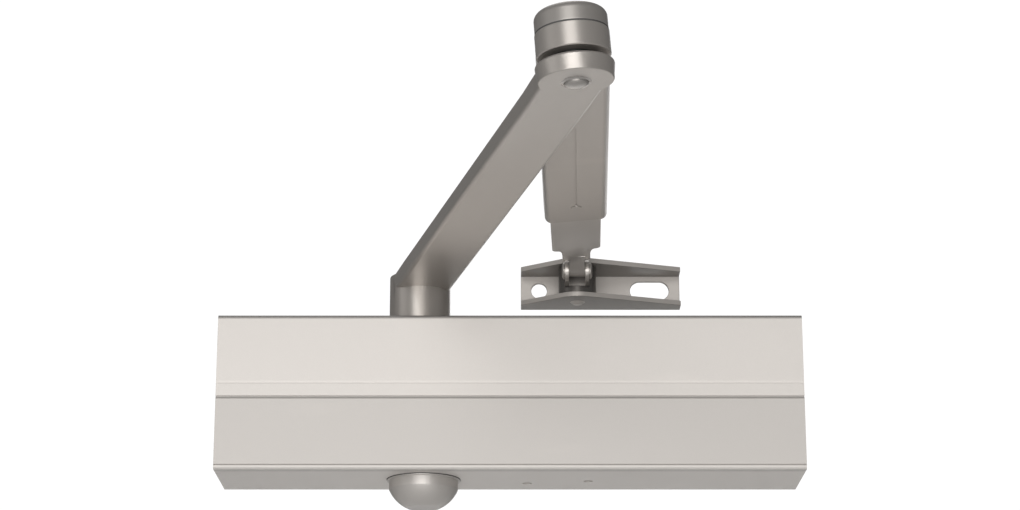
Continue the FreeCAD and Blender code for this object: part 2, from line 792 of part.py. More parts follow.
def make_piston():
    """The piston, with a window for the pinion and a rack along its front side."""
    piston = new_body("piston")
    radius = "(bore_radius - running_gap)"
    disc = sketch_on(piston, "YZ_Plane", PISTON_LEFT)
    circle(disc, "0", "0", radius)
    pad(piston, disc, f"{PISTON_RIGHT} - {PISTON_LEFT}")
    window = sketch_on(piston, "XY_Plane", f"-{radius}")
    rectangle(window, WINDOW_LEFT, f"-{RACK_TIP}", WINDOW_RIGHT, WINDOW_HALF)
    cut(piston, window, f"2 * {radius}")
    slope = "tan(pressure_angle * 1 deg)"
    gap_half = f"({TOOTH_PITCH} / 4 + backlash / 4)"
    mouth = f"({gap_half} + rack_addendum * {slope})"
    floor = f"({gap_half} - ({RACK_ROOT} - {PITCH_RADIUS}) * {slope})"
    first = f"({SPINDLE_X} + {TOOTH_PITCH})"
    gap = sketch_on(piston, "XY_Plane", f"-{radius}")
    outline(
        gap,
        [
            (f"{first} - {floor}", f"-{RACK_ROOT}"),
            (f"{first} + {floor}", f"-{RACK_ROOT}"),
            (f"{first} + {mouth}", f"-{RACK_TIP}"),
            (f"{first} - {mouth}", f"-{RACK_TIP}"),
        ],
    )
    tooth_gap = cut(piston, gap, f"2 * {radius}")
    rack = piston.newObject("PartDesign::LinearPattern", "RackTeeth")
    rack.Originals = [tooth_gap]
    rack.Direction = (gap, ["H_Axis"])
    rack.Reversed = True
    gaps = 2 + int(size(f"{STROKE} / {TOOTH_PITCH}") + 1)
    rack.Occurrences = gaps
    rack.setExpression("Length", bind(f"{gaps - 1} * {TOOTH_PITCH}"))
    piston.Tip = rack
    ring = sketch_on(piston, "YZ_Plane", f"{PISTON_LEFT} + piston_head_left / 3")
    circle(ring, "0", "0", f"{radius} + 1")
    circle(ring, "0", "0", f"{radius} - piston_ring_depth")
    cut(piston, ring, "piston_ring_width")
    seat_bore = sketch_on(piston, "YZ_Plane", PISTON_LEFT)
    circle(seat_bore, "0", "0", "check_seat_radius + thread_gap")
    cut(piston, seat_bore, "check_seat_length")
    cage = sketch_on(piston, "YZ_Plane", f"{PISTON_LEFT} + check_seat_length")
    circle(cage, "0", "0", "check_ball_radius + check_cage_gap")
    cut(piston, cage, "2 * check_ball_radius + 2 * check_cage_gap")
    port = sketch_on(piston, "YZ_Plane", f"{PISTON_LEFT} + check_seat_length")
    circle(port, "0", "0", "check_port_radius")
    cut(piston, port, "piston_head_left")
    place(piston, "0", "-spindle_depth")
    seal_inner = f"({radius} - piston_ring_depth + thread_gap)"
    seal = turned(
        "piston_seal",
        [
            (seal_inner, "0"),
            ("bore_radius - piston_ring_gap", "0"),
            ("bore_radius - piston_ring_gap", "piston_ring_width - thread_gap"),
            (seal_inner, "piston_ring_width - thread_gap"),
        ],
    )
    place(seal, f"{PISTON_LEFT} + piston_head_left / 3", "-spindle_depth", turn=ALONG_X)
    seat = turned(
        "check_valve_seat",
        [
            ("check_port_radius", "0"),
            ("check_seat_radius", "0"),
            ("check_seat_radius", "check_seat_length"),
            ("check_port_radius", "check_seat_length"),
        ],
    )
    place(seat, PISTON_LEFT, "-spindle_depth", turn=ALONG_X)
    ball = doc.addObject("Part::Sphere", "CheckBall")
    ball.setExpression("Radius", bind("check_ball_radius"))
    keep("check_valve_ball", ball)
    ball_x = f"{PISTON_LEFT} + check_seat_length + check_ball_radius + check_cage_gap / 2"
    place(ball, ball_x, "-spindle_depth", "-check_cage_gap / 2")


def make_spring():
    """The closing spring: one wire with flats in short arcs, its end coils laid close."""
    arcs_per_turn = round(size("spring_arcs_per_turn"))
    wire = size("spring_wire")
    turns = size("spring_turns")
    coil_radius = size("spring_radius") - wire / 2
    length = size(SPRING_LENGTH) - wire
    steps = round(arcs_per_turn * turns)
    close = (wire + size("spring_close_gap")) / arcs_per_turn
    close_steps = 2 * arcs_per_turn
    open_step = (length - close_steps * close) / (steps - close_steps)

    def along(step):
        """How far along the spring the wire is after so many arcs."""
        middle = min(max(step - arcs_per_turn, 0), steps - close_steps)
        return close * (step - middle) + open_step * middle

    def point(step):
        angle = step * 2 * math.pi / arcs_per_turn
        return Vector(along(step), coil_radius * math.cos(angle), coil_radius * math.sin(angle))

    arcs = [Part.Arc(point(step), point(step + 1 / 2), point(step + 1)).toShape() for step in range(steps)]
    path = Part.Wire(arcs)
    heading = arcs[0].tangentAt(arcs[0].FirstParameter)
    across = heading.cross(Y_AXIS).normalize()
    upward = across.cross(heading)
    flats = round(size("spring_wire_flat_count"))
    corner_radius = wire / 2 / math.sqrt(math.cos(math.pi / flats))
    corners = []
    for index in range(flats + 1):
        corner = polar(corner_radius, (index + 1 / 2) * 2 * math.pi / flats)
        corners.append(point(0) + upward * corner.x + across * corner.y)
    section = Part.makePolygon(corners)
    spring = doc.addObject("Part::Feature", "MainSpring")
    spring.Shape = path.makePipeShell([section], True, False)
    keep("main_spring", spring)
    start_x = size(f"{PISTON_RIGHT} + spring_end_gap") + wire / 2
    spring.Placement = Placement(Vector(start_x, -size("spindle_depth"), 0), Rotation())


def make_adjuster():
    """The spring plate, which is a nut, and the captive screw that draws it along."""
    thread = "(power_screw_radius + running_gap)"
    plate_radius = "(bore_radius - running_gap)"
    plate = turned(
        "spring_plate",
        [
            (thread, "-plate_spigot_length"),
            ("plate_spigot_radius", "-plate_spigot_length"),
            ("plate_spigot_radius", "0"),
            (plate_radius, "0"),
            (plate_radius, "plate_thick"),
            (thread, "plate_thick"),
        ],
    )
    place(plate, PLATE_FACE, "-spindle_depth", turn=ALONG_X)
    ring_radius = "(power_screw_radius + running_gap - seal_gap - power_cord_radius)"
    groove = f"({ring_radius} - power_cord_radius - running_gap)"
    low = "plug_length / 3"
    high = f"{low} + 2 * seal_groove_ratio * power_cord_radius"
    screw = turned(
        "power_screw",
        [
            ("0", "-power_screw_length"),
            ("power_screw_radius - power_screw_chamfer", "-power_screw_length"),
            ("power_screw_radius", "-power_screw_length + power_screw_chamfer"),
            ("power_screw_radius", "-power_collar_thick"),
            ("power_collar_radius", "-power_collar_thick"),
            ("power_collar_radius", "0"),
            ("power_screw_radius", "0"),
            ("power_screw_radius", low),
            (groove, low),
            (groove, high),
            ("power_screw_radius", high),
            ("power_screw_radius", "plug_length"),
            ("0", "plug_length"),
        ],
    )
    socket = sketch_on(screw, "XY_Plane", "plug_length - power_screw_radius")
    hexagon(socket, "power_socket")
    cut(screw, socket, "power_screw_radius")
    place(screw, PLUG_INNER, "-spindle_depth", turn=ALONG_X)
    seal = o_ring("PowerScrewSeal", ring_radius, "power_cord_radius")
    keep("power_screw_seal", seal)
    seal_x = f"{PLUG_INNER} + {low} + seal_groove_ratio * power_cord_radius"
    place(seal, seal_x, "-spindle_depth", turn=ALONG_X)


def make_valves():
    """Two regulating screws that meter the oil, reached from below, each with its O-ring."""
    ring_radius = "(valve_radius + running_gap - seal_gap - valve_cord_radius)"
    groove = f"({ring_radius} - valve_cord_radius - running_gap)"
    low = "valve_length / 3"
    high = f"{low} + 2 * seal_groove_ratio * valve_cord_radius"
    for name, *valve_place in VALVES:
        valve = turned(
            name,
            [
                ("0", "0"),
                ("valve_radius", "0"),
                ("valve_radius", low),
                (groove, low),
                (groove, high),
                ("valve_radius", high),
                ("valve_radius", "2 * valve_length / 3"),
                ("valve_radius / 4", "valve_length"),
                ("0", "valve_length"),
            ],
        )
        socket = sketch_on(valve, "XY_Plane")
        hexagon(socket, "valve_radius")
        cut(valve, socket, "valve_length / 4")
        place(valve, *valve_place, f"-{CAST_HALF}")
        ring = o_ring(f"{valve.Name}Seal", ring_radius, "valve_cord_radius")
        keep(f"{name}_seal", ring)
        place(ring, *valve_place, f"-{CAST_HALF} + {low} + seal_groove_ratio * valve_cord_radius")


def make_spindle_cap():
    """The domed cap over the lower end of the spindle."""
    seat = f"-{COVER_TOP}"
    dome_start = f"{seat} - cap_side"
    floor_height = f"{seat} - cap_drop"
    inner = "(cap_neck_radius - cap_wall)"
    cap = turned(
        "spindle_cap",
        [
            ("0", floor_height),
            ("cap_flat_radius", f"{floor_height} + cap_floor_rise", "cap_shoulder", 1),
            ("cap_radius", dome_start),
            ("cap_radius", f"{seat} - cap_flange_thick"),
            ("cap_flange_radius", f"{seat} - cap_flange_thick"),
            ("cap_flange_radius", seat),
            ("cap_neck_radius", seat),
            ("cap_neck_radius", f"-{CAST_HALF}"),
            (inner, f"-{CAST_HALF}"),
            (inner, f"{dome_start} + cap_wall / 2"),
            ("square_side / sqrt(2) + cap_aside + cover_fit", f"-{SPINDLE_FOOT} - cover_fit"),
            ("0", f"-{SPINDLE_FOOT} - cover_fit"),
        ],
    )
    place(cap, f"{SPINDLE_X} + cap_aside", "-spindle_depth")


def elbow_frame():
    """Where the leaning elbow axis crosses the middle of the arm, with X towards the shoe."""
    swing = math.radians(size("arm_angle"))
    lean = math.radians(size("elbow_lean"))
    elbow_x = size(SPINDLE_X) + size("arm_length") * math.sin(swing)
    elbow_y = -size("spindle_depth") - size("arm_length") * math.cos(swing)
    elbow_z = size(f"{ARM_BOTTOM} + arm_thick / 2 - elbow_drop")
    pin_x, pin_y = size(SHOE_PIN_X), -size("shoe_pin_depth")
    pin_z = size(f"{SHOE_MIDDLE} + ear_pin_rise")
    reach = math.hypot(pin_x - elbow_x, pin_y - elbow_y)
    aside = (pin_z - elbow_z) * math.sin(lean)
    heading = math.atan2(pin_y - elbow_y, pin_x - elbow_x) - math.asin(aside / reach)
    yaw = Rotation(Z_AXIS, math.degrees(heading))
    roll = Rotation(X_AXIS, -size("elbow_lean"))
    return Placement(Vector(elbow_x, elbow_y, elbow_z), yaw.multiply(roll)), math.degrees(heading)


def arm_frame():
    spindle = Vector(size(SPINDLE_X), -size("spindle_depth"), 0)
    return Placement(spindle, Rotation(Z_AXIS, size("arm_angle") - 90))


def arm_section(sketch, width):
    """The arm's section about its own centre: wide above, drawn in below, with rounded edges."""
    top, bottom, rise = f"{width} / 2", f"({width} / 2 - arm_draft)", "arm_thick / 2"
    outline(
        sketch,
        [
            (f"-({bottom} - arm_under_radius)", f"-({rise})"),
            (f"{bottom} - arm_under_radius", f"-({rise})", "arm_under_radius", 1),
            (bottom, f"-({rise} - arm_under_radius)"),
            (top, f"{rise} - arm_edge_radius", "arm_edge_radius", 1),
            (f"{top} - arm_edge_radius", rise),
            (f"-({top} - arm_edge_radius)", rise, "arm_edge_radius", 1),
            (f"-({top})", f"{rise} - arm_edge_radius"),
            (f"-({bottom})", f"-({rise} - arm_under_radius)", "arm_under_radius", 1),
        ],
    )


def make_main_arm():
    """The forged arm: a hub on the spindle, a bar that twists a little, and the elbow head."""
    arm = new_body("main_arm")
    frame = arm_frame()
    elbow = frame.inverse().multiply(elbow_frame()[0])
    hub = sketch_on(arm, "XY_Plane", HUB_BOTTOM)
    circle(hub, "0", "0", "hub_radius")
    pad(arm, hub, f"{ARM_TOP} + hub_rise - {HUB_BOTTOM}")
    hub_seat = Placement(Vector(0, 0, size(f"{ARM_BOTTOM} + arm_thick / 2")), Rotation())
    root = sketch_on(arm, "YZ_Plane", seat=seat_for("YZ_Plane", hub_seat))
    arm_section(root, "arm_root_width")
    pad(arm, root, "arm_straight")
    along = elbow.Rotation.inverted().multVec(X_AXIS)
    in_head_plane = Rotation(Z_AXIS, math.degrees(math.atan2(along.y, along.x)))
    head_seat = elbow.multiply(Placement(Vector(), in_head_plane))
    sections = []
    straight = size("arm_straight")
    stations = ((hub_seat, straight, "arm_root_width"), (head_seat, -straight, "arm_head_width"))
    for seat, place_x, width in stations:
        station = seat.multiply(Placement(Vector(place_x, 0, 0), Rotation()))
        section = sketch_on(arm, "YZ_Plane", seat=seat_for("YZ_Plane", station))
        arm_section(section, width)
        sections.append(section)
    bar = arm.newObject("PartDesign::AdditiveLoft", "ArmBar")
    bar.Profile = sections[0]
    bar.Sections = sections[1:]
    bar.Ruled = True
    head_bar = sketch_on(arm, "YZ_Plane", seat=sections[1].AttachmentOffset)
    arm_section(head_bar, "arm_head_width")
    pad(arm, head_bar, "arm_straight")
    head_corners = [
        ("0", "-arm_thick / 2"),
        ("head_radius_bottom - head_edge_radius", "-arm_thick / 2", "head_edge_radius", 1),
        ("head_radius_bottom", "-arm_thick / 2 + head_edge_radius"),
        ("head_radius_top", "arm_thick / 2 - arm_edge_radius", "arm_edge_radius", 1),
        ("head_radius_top - arm_edge_radius", "arm_thick / 2"),
        ("0", "arm_thick / 2"),
    ]
    revolve(arm, head_corners, seat=seat_for("XZ_Plane", elbow))
    seat_height = f"({ARM_TOP} - hub_washer_thick - hub_screw_head - hub_screw_sink)"
    square = sketch_on(arm, "XY_Plane", HUB_BOTTOM)
    half = "(square_side / 2 + square_gap)"
    rectangle(square, f"-{half}", f"-{half}", half, half)
    cut(arm, square, f"{seat_height} - {HUB_BOTTOM}")
    recess = sketch_on(arm, "XY_Plane", seat_height)
    circle(recess, "0", "0", "hub_washer_radius + thread_gap")
    cut(arm, recess, "arm_thick")
    hole_seat = elbow.multiply(Placement(Vector(0, 0, -size("arm_thick")), Rotation()))
    hole = sketch_on(arm, "XY_Plane", seat=hole_seat)
    circle(hole, "0", "0", "elbow_pin_radius + thread_gap")
    cut(arm, hole, "2 * arm_thick")
    arm.Placement = frame
    washer = turned(
        "hub_washer",
        [
            ("hub_screw_radius + thread_gap", "0"),
            ("hub_washer_radius", "0"),
            ("hub_washer_radius", "hub_washer_thick"),
            ("hub_screw_radius + thread_gap", "hub_washer_thick"),
        ],
    )
    place(washer, *SPINDLE, seat_height)
    shank_foot = f"-(hub_screw_length - hub_screw_end_gap) - ({seat_height} - {SPINDLE_TOP})"
    screw = turned(
        "hub_screw",
        [
            ("0", shank_foot),
            ("hub_screw_radius", shank_foot),
            ("hub_screw_radius", "hub_washer_thick"),
            ("hub_screw_head_radius", "hub_washer_thick"),
            ("hub_screw_head_radius", "hub_washer_thick + hub_screw_head - hub_screw_chamfer"),
            ("hub_screw_head_radius - hub_screw_chamfer", "hub_washer_thick + hub_screw_head"),
            ("0", "hub_washer_thick + hub_screw_head"),
        ],
    )
    socket = sketch_on(screw, "XY_Plane", "hub_washer_thick + hub_screw_chamfer")
    hexagon(socket, "hub_screw_radius * 4 / 3")
    cut(screw, socket, "hub_screw_head")
    place(screw, *SPINDLE, seat_height)


def make_elbow():
    """The rivet of the elbow, its spacer, the bush it turns in and the cap over it."""
    frame, _ = elbow_frame()
    foot = "(arm_thick / 2)"
    flange_foot = f"({KNUCKLE_TOP} - bush_flange_thick - bush_sink)"
    flange_top = f"({flange_foot} + bush_flange_thick)"
    head_radius = "(bush_flange_radius - elbow_head_margin)"
    dome = "((elbow_rivet_radius ^ 2 + elbow_rivet_rise ^ 2) / 2 / elbow_rivet_rise)"
    pin = turned(
        "elbow_pin",
        [
            ("0", f"-{foot} - elbow_rivet_rise", dome, 1),
            ("elbow_rivet_radius", f"-{foot}"),
            ("elbow_pin_radius", f"-{foot}"),
            ("elbow_pin_radius", f"{flange_top} + running_gap"),
            (head_radius, f"{flange_top} + running_gap"),
            (head_radius, f"{flange_top} + elbow_head_side"),
            ("elbow_pin_radius", f"{flange_top} + elbow_head_height"),
            ("0", f"{flange_top} + elbow_head_height"),
        ],
    )
    spacer = turned(
        "elbow_spacer",
        [
            ("elbow_pin_radius + thread_gap", foot),
            ("elbow_spacer_radius", foot),
            ("elbow_spacer_radius", KNUCKLE_BOTTOM),
            ("elbow_pin_radius + thread_gap", KNUCKLE_BOTTOM),
        ],
    )
    bush_bore = "(elbow_pin_radius + running_gap)"
    bush_outer = "(elbow_pin_radius + bush_wall)"
    bush = turned(
        "elbow_bush",
        [
            (bush_bore, KNUCKLE_BOTTOM),
            (bush_outer, KNUCKLE_BOTTOM),
            (bush_outer, flange_foot),
            ("bush_flange_radius", flange_foot),
            ("bush_flange_radius", flange_top),
            (bush_bore, flange_top),
        ],
    )
    recess = "(bush_flange_radius + thread_gap)"
    spigot = "(bush_flange_radius - elbow_cap_skirt)"
    cap_top = f"({KNUCKLE_TOP} + elbow_cap_height)"
    cavity_top = f"({flange_top} + elbow_head_height + elbow_cap_air)"
    cap = turned(
        "elbow_cap",
        [
            ("0", cavity_top),
            (spigot, cavity_top),
            (spigot, f"{flange_top} + thread_gap"),
            ("bush_flange_radius", f"{flange_top} + thread_gap"),
            ("bush_flange_radius", KNUCKLE_TOP),
            ("elbow_cap_radius - elbow_line_chamfer", KNUCKLE_TOP),
            ("elbow_cap_radius", f"{KNUCKLE_TOP} + elbow_line_chamfer"),
            ("elbow_cap_radius", f"{cap_top} - elbow_cap_round", "elbow_cap_round", 1),
            ("elbow_cap_radius - elbow_cap_round", cap_top),
            ("0", cap_top),
        ],
    )
    for piece in (pin, spacer, bush, cap):
        piece.Placement = frame
    return recess, flange_foot


def make_forearm(recess, flange_foot):
    """The knuckle and the flat tube of the forearm, the bar that slides in it and its clamp screw."""
    frame, heading = elbow_frame()
    tube = new_body("forearm_tube")
    bush_outer = "(elbow_pin_radius + bush_wall + thread_gap)"
    chamfer = "elbow_line_chamfer"
    low, high = KNUCKLE_BOTTOM, f"({KNUCKLE_BOTTOM} + forearm_height)"
    half = "(forearm_width / 2)"
    section = sketch_on(tube, "YZ_Plane", "knuckle_radius / 2")
    outline(
        section,
        [
            (f"-({half} - forearm_corner)", low),
            (f"{half} - forearm_corner", low, "forearm_corner", 1),
            (half, f"{low} + forearm_corner"),
            (half, f"{high} - forearm_corner", "forearm_corner", 1),
            (f"{half} - forearm_corner", high),
            (f"-({half} - forearm_corner)", high, "forearm_corner", 1),
            (f"-{half}", f"{high} - forearm_corner"),
            (f"-{half}", f"{low} + forearm_corner", "forearm_corner", 1),
        ],
    )
    pad(tube, section, "forearm_tube_end - knuckle_radius / 2")
    cleared = sketch_on(tube, "XY_Plane", KNUCKLE_TOP)
    circle(cleared, "0", "0", "knuckle_radius + slide_gap")
    cut(tube, cleared, "forearm_height")
    revolve(
        tube,
        [
            ("0", low),
            (f"knuckle_radius - {chamfer}", low),
            ("knuckle_radius", f"{low} + {chamfer}"),
            ("knuckle_radius", f"{KNUCKLE_TOP} - {chamfer}"),
            (f"knuckle_radius - {chamfer}", KNUCKLE_TOP),
            ("0", KNUCKLE_TOP),
        ],
    )
    well = sketch_on(tube, "XY_Plane", f"{low} - 1")
    circle(well, "0", "0", bush_outer)
    cut(tube, well, "knuckle_height + 2")
    step = sketch_on(tube, "XY_Plane", flange_foot)
    circle(step, "0", "0", recess)
    cut(tube, step, "knuckle_height")
    channel = sketch_on(tube, "YZ_Plane", "forearm_channel_start")
    inner = "(forearm_width / 2 - forearm_wall)"
    rectangle(channel, f"-{inner}", f"{low} + forearm_wall", inner, f"{high} - forearm_wall")
    cut(tube, channel, "forearm_tube_end")
    seam = sketch_on(tube, "XY_Plane", f"{low} - 1")
    seam_half = "(forearm_seam_width / 2)"
    rectangle(seam, "forearm_seam_start", f"-{seam_half}", "forearm_seam_end", seam_half)
    cut(tube, seam, "1 + forearm_seam_depth")
    boss = sketch_on(tube, "XY_Plane", f"{high} - forearm_wall")
    circle(boss, "clamp_screw_place", "0", "clamp_boss_radius")
    pad(tube, boss, "forearm_wall + clamp_boss_rise")
    thread = sketch_on(tube, "XY_Plane", f"{high} - 2 * forearm_wall")
    circle(thread, "clamp_screw_place", "0", "clamp_screw_radius + running_gap")
    cut(tube, thread, "3 * forearm_wall + clamp_boss_rise")
    tube.Placement = frame
    head_foot = f"({high} + clamp_boss_rise + clamp_head_gap)"
    screw = turned(
        "clamp_screw",
        [
            ("0", f"{BAR_TOP} + running_gap"),
            ("clamp_screw_radius", f"{BAR_TOP} + running_gap"),
            ("clamp_screw_radius", head_foot),
            ("clamp_head_radius", head_foot),
            ("clamp_head_radius", f"{head_foot} + clamp_head_height - clamp_head_chamfer"),
            ("clamp_head_radius - clamp_head_chamfer", f"{head_foot} + clamp_head_height"),
            ("0", f"{head_foot} + clamp_head_height"),
        ],
    )
    socket = sketch_on(screw, "XY_Plane", f"{head_foot} + clamp_socket_floor")
    hexagon(socket, "clamp_screw_radius * 5 / 3")
    cut(screw, socket, "clamp_head_height")
    place_on_tube = Placement(Vector(size("clamp_screw_place"), 0, 0), Rotation())
    screw.Placement = frame.multiply(place_on_tube)
    make_bar(frame, heading)


def ear_frame(heading):
    """The level frame at the horizontal rivet between forearm and swivel."""
    turn = Rotation(Z_AXIS, heading)
    swivel = Vector(size(SHOE_PIN_X), -size("shoe_pin_depth"), size(f"{SHOE_MIDDLE} + ear_pin_rise"))
    back = turn.multVec(Vector(-size("ear_pin_reach"), 0, 0))
    return Placement(swivel + back, turn)


def make_bar(frame, heading):
    """The flat bar that slides in the tube, with a tongue at its end that the swivel's ears take."""
    bar = new_body("forearm_bar")
    ears = frame.inverse().multiply(ear_frame(heading))
    reach = ears.Base.x
    half, neck = f"({BAR_WIDTH} / 2)", "(bar_neck_width / 2)"
    shoulder = f"({reach} - bar_shoulder_reach)"
    neck_start = f"({shoulder} + bar_taper)"
    plan = sketch_on(bar, "XY_Plane", BAR_BOTTOM)
    outline(
        plan,
        [
            ("bar_start", f"-{half}"),
            (shoulder, f"-{half}", "bar_round", 1),
            (f"{shoulder} + bar_round", f"-({half} - bar_round)"),
            (f"{neck_start} - bar_hollow", f"-({neck} + bar_hollow)", "bar_hollow", -1),
            (neck_start, f"-{neck}"),
            (f"{reach} - bar_neck_stop", f"-{neck}"),
            (f"{reach} - bar_neck_stop", neck),
            (neck_start, neck, "bar_hollow", -1),
            (f"{neck_start} - bar_hollow", f"{neck} + bar_hollow"),
            (f"{shoulder} + bar_round", f"{half} - bar_round", "bar_round", 1),
            (shoulder, half),
            ("bar_start", half),
        ],
    )
    pad(bar, plan, BAR_THICK)
    half_tongue = Placement(Vector(0, size("tongue_width / 2"), 0), Rotation())
    tongue_side = seat_for("XZ_Plane", ears.multiply(half_tongue))
    side = sketch_on(bar, "XZ_Plane", seat=tongue_side)
    neck_low = f"({BAR_BOTTOM} - {ears.Base.z})"
    neck_high = f"({BAR_TOP} - {ears.Base.z} - ear_top_drop)"
    outline(
        side,
        [
            ("-ear_back", neck_low),
            (*on_circle("ear_radius", "ear_foot_angle"), "ear_radius", 1),
            (*on_circle("ear_radius", "ear_nose_angle"), "ear_radius", 1),
            on_circle("ear_radius", "ear_top_angle"),
            ("-bar_neck_stop", neck_high),
            ("-ear_back", neck_high),
        ],
    )
    pad(bar, side, "tongue_width")
    rivet_hole = sketch_on(bar, "XZ_Plane", seat=tongue_side)
    circle(rivet_hole, "0", "0", "ear_pin_radius + thread_gap")
    cut(bar, rivet_hole, "tongue_width")
    bar.Placement = frame
    edge = "(ear_spread / 2)"
    rise = "rivet_head_rise"
    rivet = turned(
        "ear_rivet",
        [
            ("0", f"-{edge} - {rise}"),
            ("ear_pin_radius", f"-{edge} - {rise}"),
            ("ear_pin_radius + ear_rivet_margin", f"-{edge} - {rise} / 2"),
            ("ear_pin_radius + ear_rivet_margin", f"-{edge}"),
            ("ear_pin_radius", f"-{edge}"),
            ("ear_pin_radius", edge),
            ("ear_pin_radius + ear_rivet_margin", edge),
            ("ear_pin_radius + ear_rivet_margin", f"{edge} + {rise} / 2"),
            ("ear_pin_radius", f"{edge} + {rise}"),
            ("0", f"{edge} + {rise}"),
        ],
    )
    rivet.Placement = ear_frame(heading).multiply(Placement(Vector(), Rotation(X_AXIS, 90)))


def make_shoe():
    """The eared swivel block, the bent sheet shoe and the vertical rivet that joins them."""
    _, heading = elbow_frame()
    swivel = new_body("swivel_block")
    half = "(shoe_height / 2 - shoe_sheet - swivel_gap)"
    barrel = sketch_on(swivel, "XY_Plane", f"-{half}")
    circle(barrel, "0", "0", "swivel_radius")
    pad(swivel, barrel, f"2 * {half}")
    ears = sketch_on(swivel, "XZ_Plane", "-ear_spread / 2")
    rise = "ear_pin_rise"
    outline(
        ears,
        [
            ("-ear_pin_reach", f"{rise} - ear_radius"),
            ("0", f"{rise} - ear_radius"),
            ("0", f"{rise} + ear_radius"),
            ("-ear_pin_reach", f"{rise} + ear_radius", "ear_radius", 1),
            ("-ear_pin_reach - ear_radius", rise, "ear_radius", 1),
        ],
    )
    pad(swivel, ears, "ear_spread")
    slot = sketch_on(swivel, "XY_Plane", f"-{half}")
    rectangle(slot, "-2 * ear_pin_reach", "-ear_slot / 2", "-ear_slot_start", "ear_slot / 2")
    cut(swivel, slot, f"2 * {half}")
    ear_hole = sketch_on(swivel, "XZ_Plane", "-ear_spread / 2")
    circle(ear_hole, "-ear_pin_reach", rise, "ear_pin_radius + running_gap")
    cut(swivel, ear_hole, "ear_spread")
    pin_hole = sketch_on(swivel, "XY_Plane", f"-{half}")
    circle(pin_hole, "0", "0", "shoe_pin_radius + running_gap")
    cut(swivel, pin_hole, f"2 * {half}")
    place(swivel, SHOE_PIN_X, "-shoe_pin_depth", SHOE_MIDDLE, Rotation(Z_AXIS, heading))

    shoe = new_body("shoe_bracket")
    plan = sketch_on(shoe, "XY_Plane", "-shoe_height / 2")
    back = "shoe_pin_depth"
    ends = "(shoe_pin_depth - shoe_end_depth)"
    outline(
        plan,
        [
            ("-shoe_left", back),
            ("-shoe_left", ends),
            (*on_circle("shoe_nose", "shoe_nose_left_angle"), "shoe_nose", 1),
            on_circle("shoe_nose", "shoe_nose_right_angle"),
            ("shoe_right", ends),
            ("shoe_right", back),
        ],
    )
    solid = pad(shoe, plan, "shoe_height")

    def long_back_edge(edge):
        box = edge.BoundBox
        on_the_back = abs(box.YMin - size(back)) < ON_PLANE and box.YLength < ON_PLANE
        return on_the_back and box.XLength > size("shoe_left")

    round_edges(shoe, solid, "shoe_bend", long_back_edge)
    inside = sketch_on(shoe, "YZ_Plane", "-2 * shoe_left")
    inner = "(shoe_height / 2 - shoe_sheet)"
    rectangle(inside, "-2 * shoe_nose", f"-{inner}", f"{back} - shoe_sheet", inner)
    cut(shoe, inside, "2 * (shoe_left + shoe_right)")
    holes = sketch_on(shoe, "XZ_Plane", f"-{back} - shoe_sheet")
    circle(holes, "-shoe_hole_place", "0", "shoe_hole_radius")
    run, bar = "((shoe_slot_length - shoe_slot_width) / 2)", "(shoe_slot_width / 2)"
    outline(
        holes,
        [
            (f"shoe_slot_place - {run}", f"-{bar}"),
            (f"shoe_slot_place + {run}", f"-{bar}", bar, 1),
            (f"shoe_slot_place + {run} + {bar}", "0", bar, 1),
            (f"shoe_slot_place + {run}", bar),
            (f"shoe_slot_place - {run}", bar, bar, 1),
            (f"shoe_slot_place - {run} - {bar}", "0", bar, 1),
        ],
    )
    cut(shoe, holes, "3 * shoe_sheet")
    pin_holes = sketch_on(shoe, "XY_Plane", "-shoe_height")
    circle(pin_holes, "0", "0", "shoe_pin_radius + thread_gap")
    cut(shoe, pin_holes, "2 * shoe_height")
    place(shoe, SHOE_PIN_X, "-shoe_pin_depth", SHOE_MIDDLE)
    edge = "(shoe_height / 2)"
    dome = "((rivet_head_radius ^ 2 + rivet_head_rise ^ 2) / 2 / rivet_head_rise)"
    pin = turned(
        "shoe_pin",
        [
            ("0", f"-{edge} - rivet_head_rise", dome, 1),
            ("rivet_head_radius", f"-{edge}"),
            ("shoe_pin_radius", f"-{edge}"),
            ("shoe_pin_radius", edge),
            ("rivet_head_radius", edge, dome, 1),
            ("0", f"{edge} + rivet_head_rise"),
        ],
    )
    place(pin, SHOE_PIN_X, "-shoe_pin_depth", SHOE_MIDDLE)


make_cover()
make_casting()
make_plugs()
make_glands()
make_pinion_shaft()
make_piston()
make_spring()
make_adjuster()
make_valves()
make_spindle_cap()
make_main_arm()
make_forearm(*make_elbow())
make_shoe()
doc.recompute()

for item in doc.Objects:
    if "Invalid" in item.State or "Error" in item.State:
        raise RuntimeError(f"{item.Label} did not build: {item.State}")
for name, item in parts.items():
    if item.Shape.isNull() or not item.Shape.isValid() or not item.Shape.Solids:
        raise RuntimeError(f"{name} has no sound solid")

os.makedirs("parts", exist_ok=True)
for name, item in parts.items():
    item.Shape.exportStep(f"parts/{name}.step")
    box = item.Shape.BoundBox
    print(
        f"{name}: {len(item.Shape.Solids)} solid, {item.Shape.Volume:.0f} mm3,"
        f" X {box.XMin:.1f} {box.XMax:.1f} Y {box.YMin:.1f} {box.YMax:.1f} Z {box.ZMin:.1f} {box.ZMax:.1f}"
    )
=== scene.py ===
# %% [markdown]
# # A scissor arm door closer, from its CAD solids to a finished picture
# A door closer is a slim metal box with a spring and oil inside. Two flat arms fold over it like scissors
# and a small swivelling shoe holds them to the door frame. The solids come from the CAD model, so the work
# here is what CAD leaves out: soft edges, paint with painted shade, plating, threads, dark rings of painted
# shadow and light.
# The first cell loads the frame. It also looks up the finish slot, the moving body and the joints that the
# CAD model names, and a millimetre.

import json
import math

import bmesh
import bpy
from mathutils import Matrix, Vector


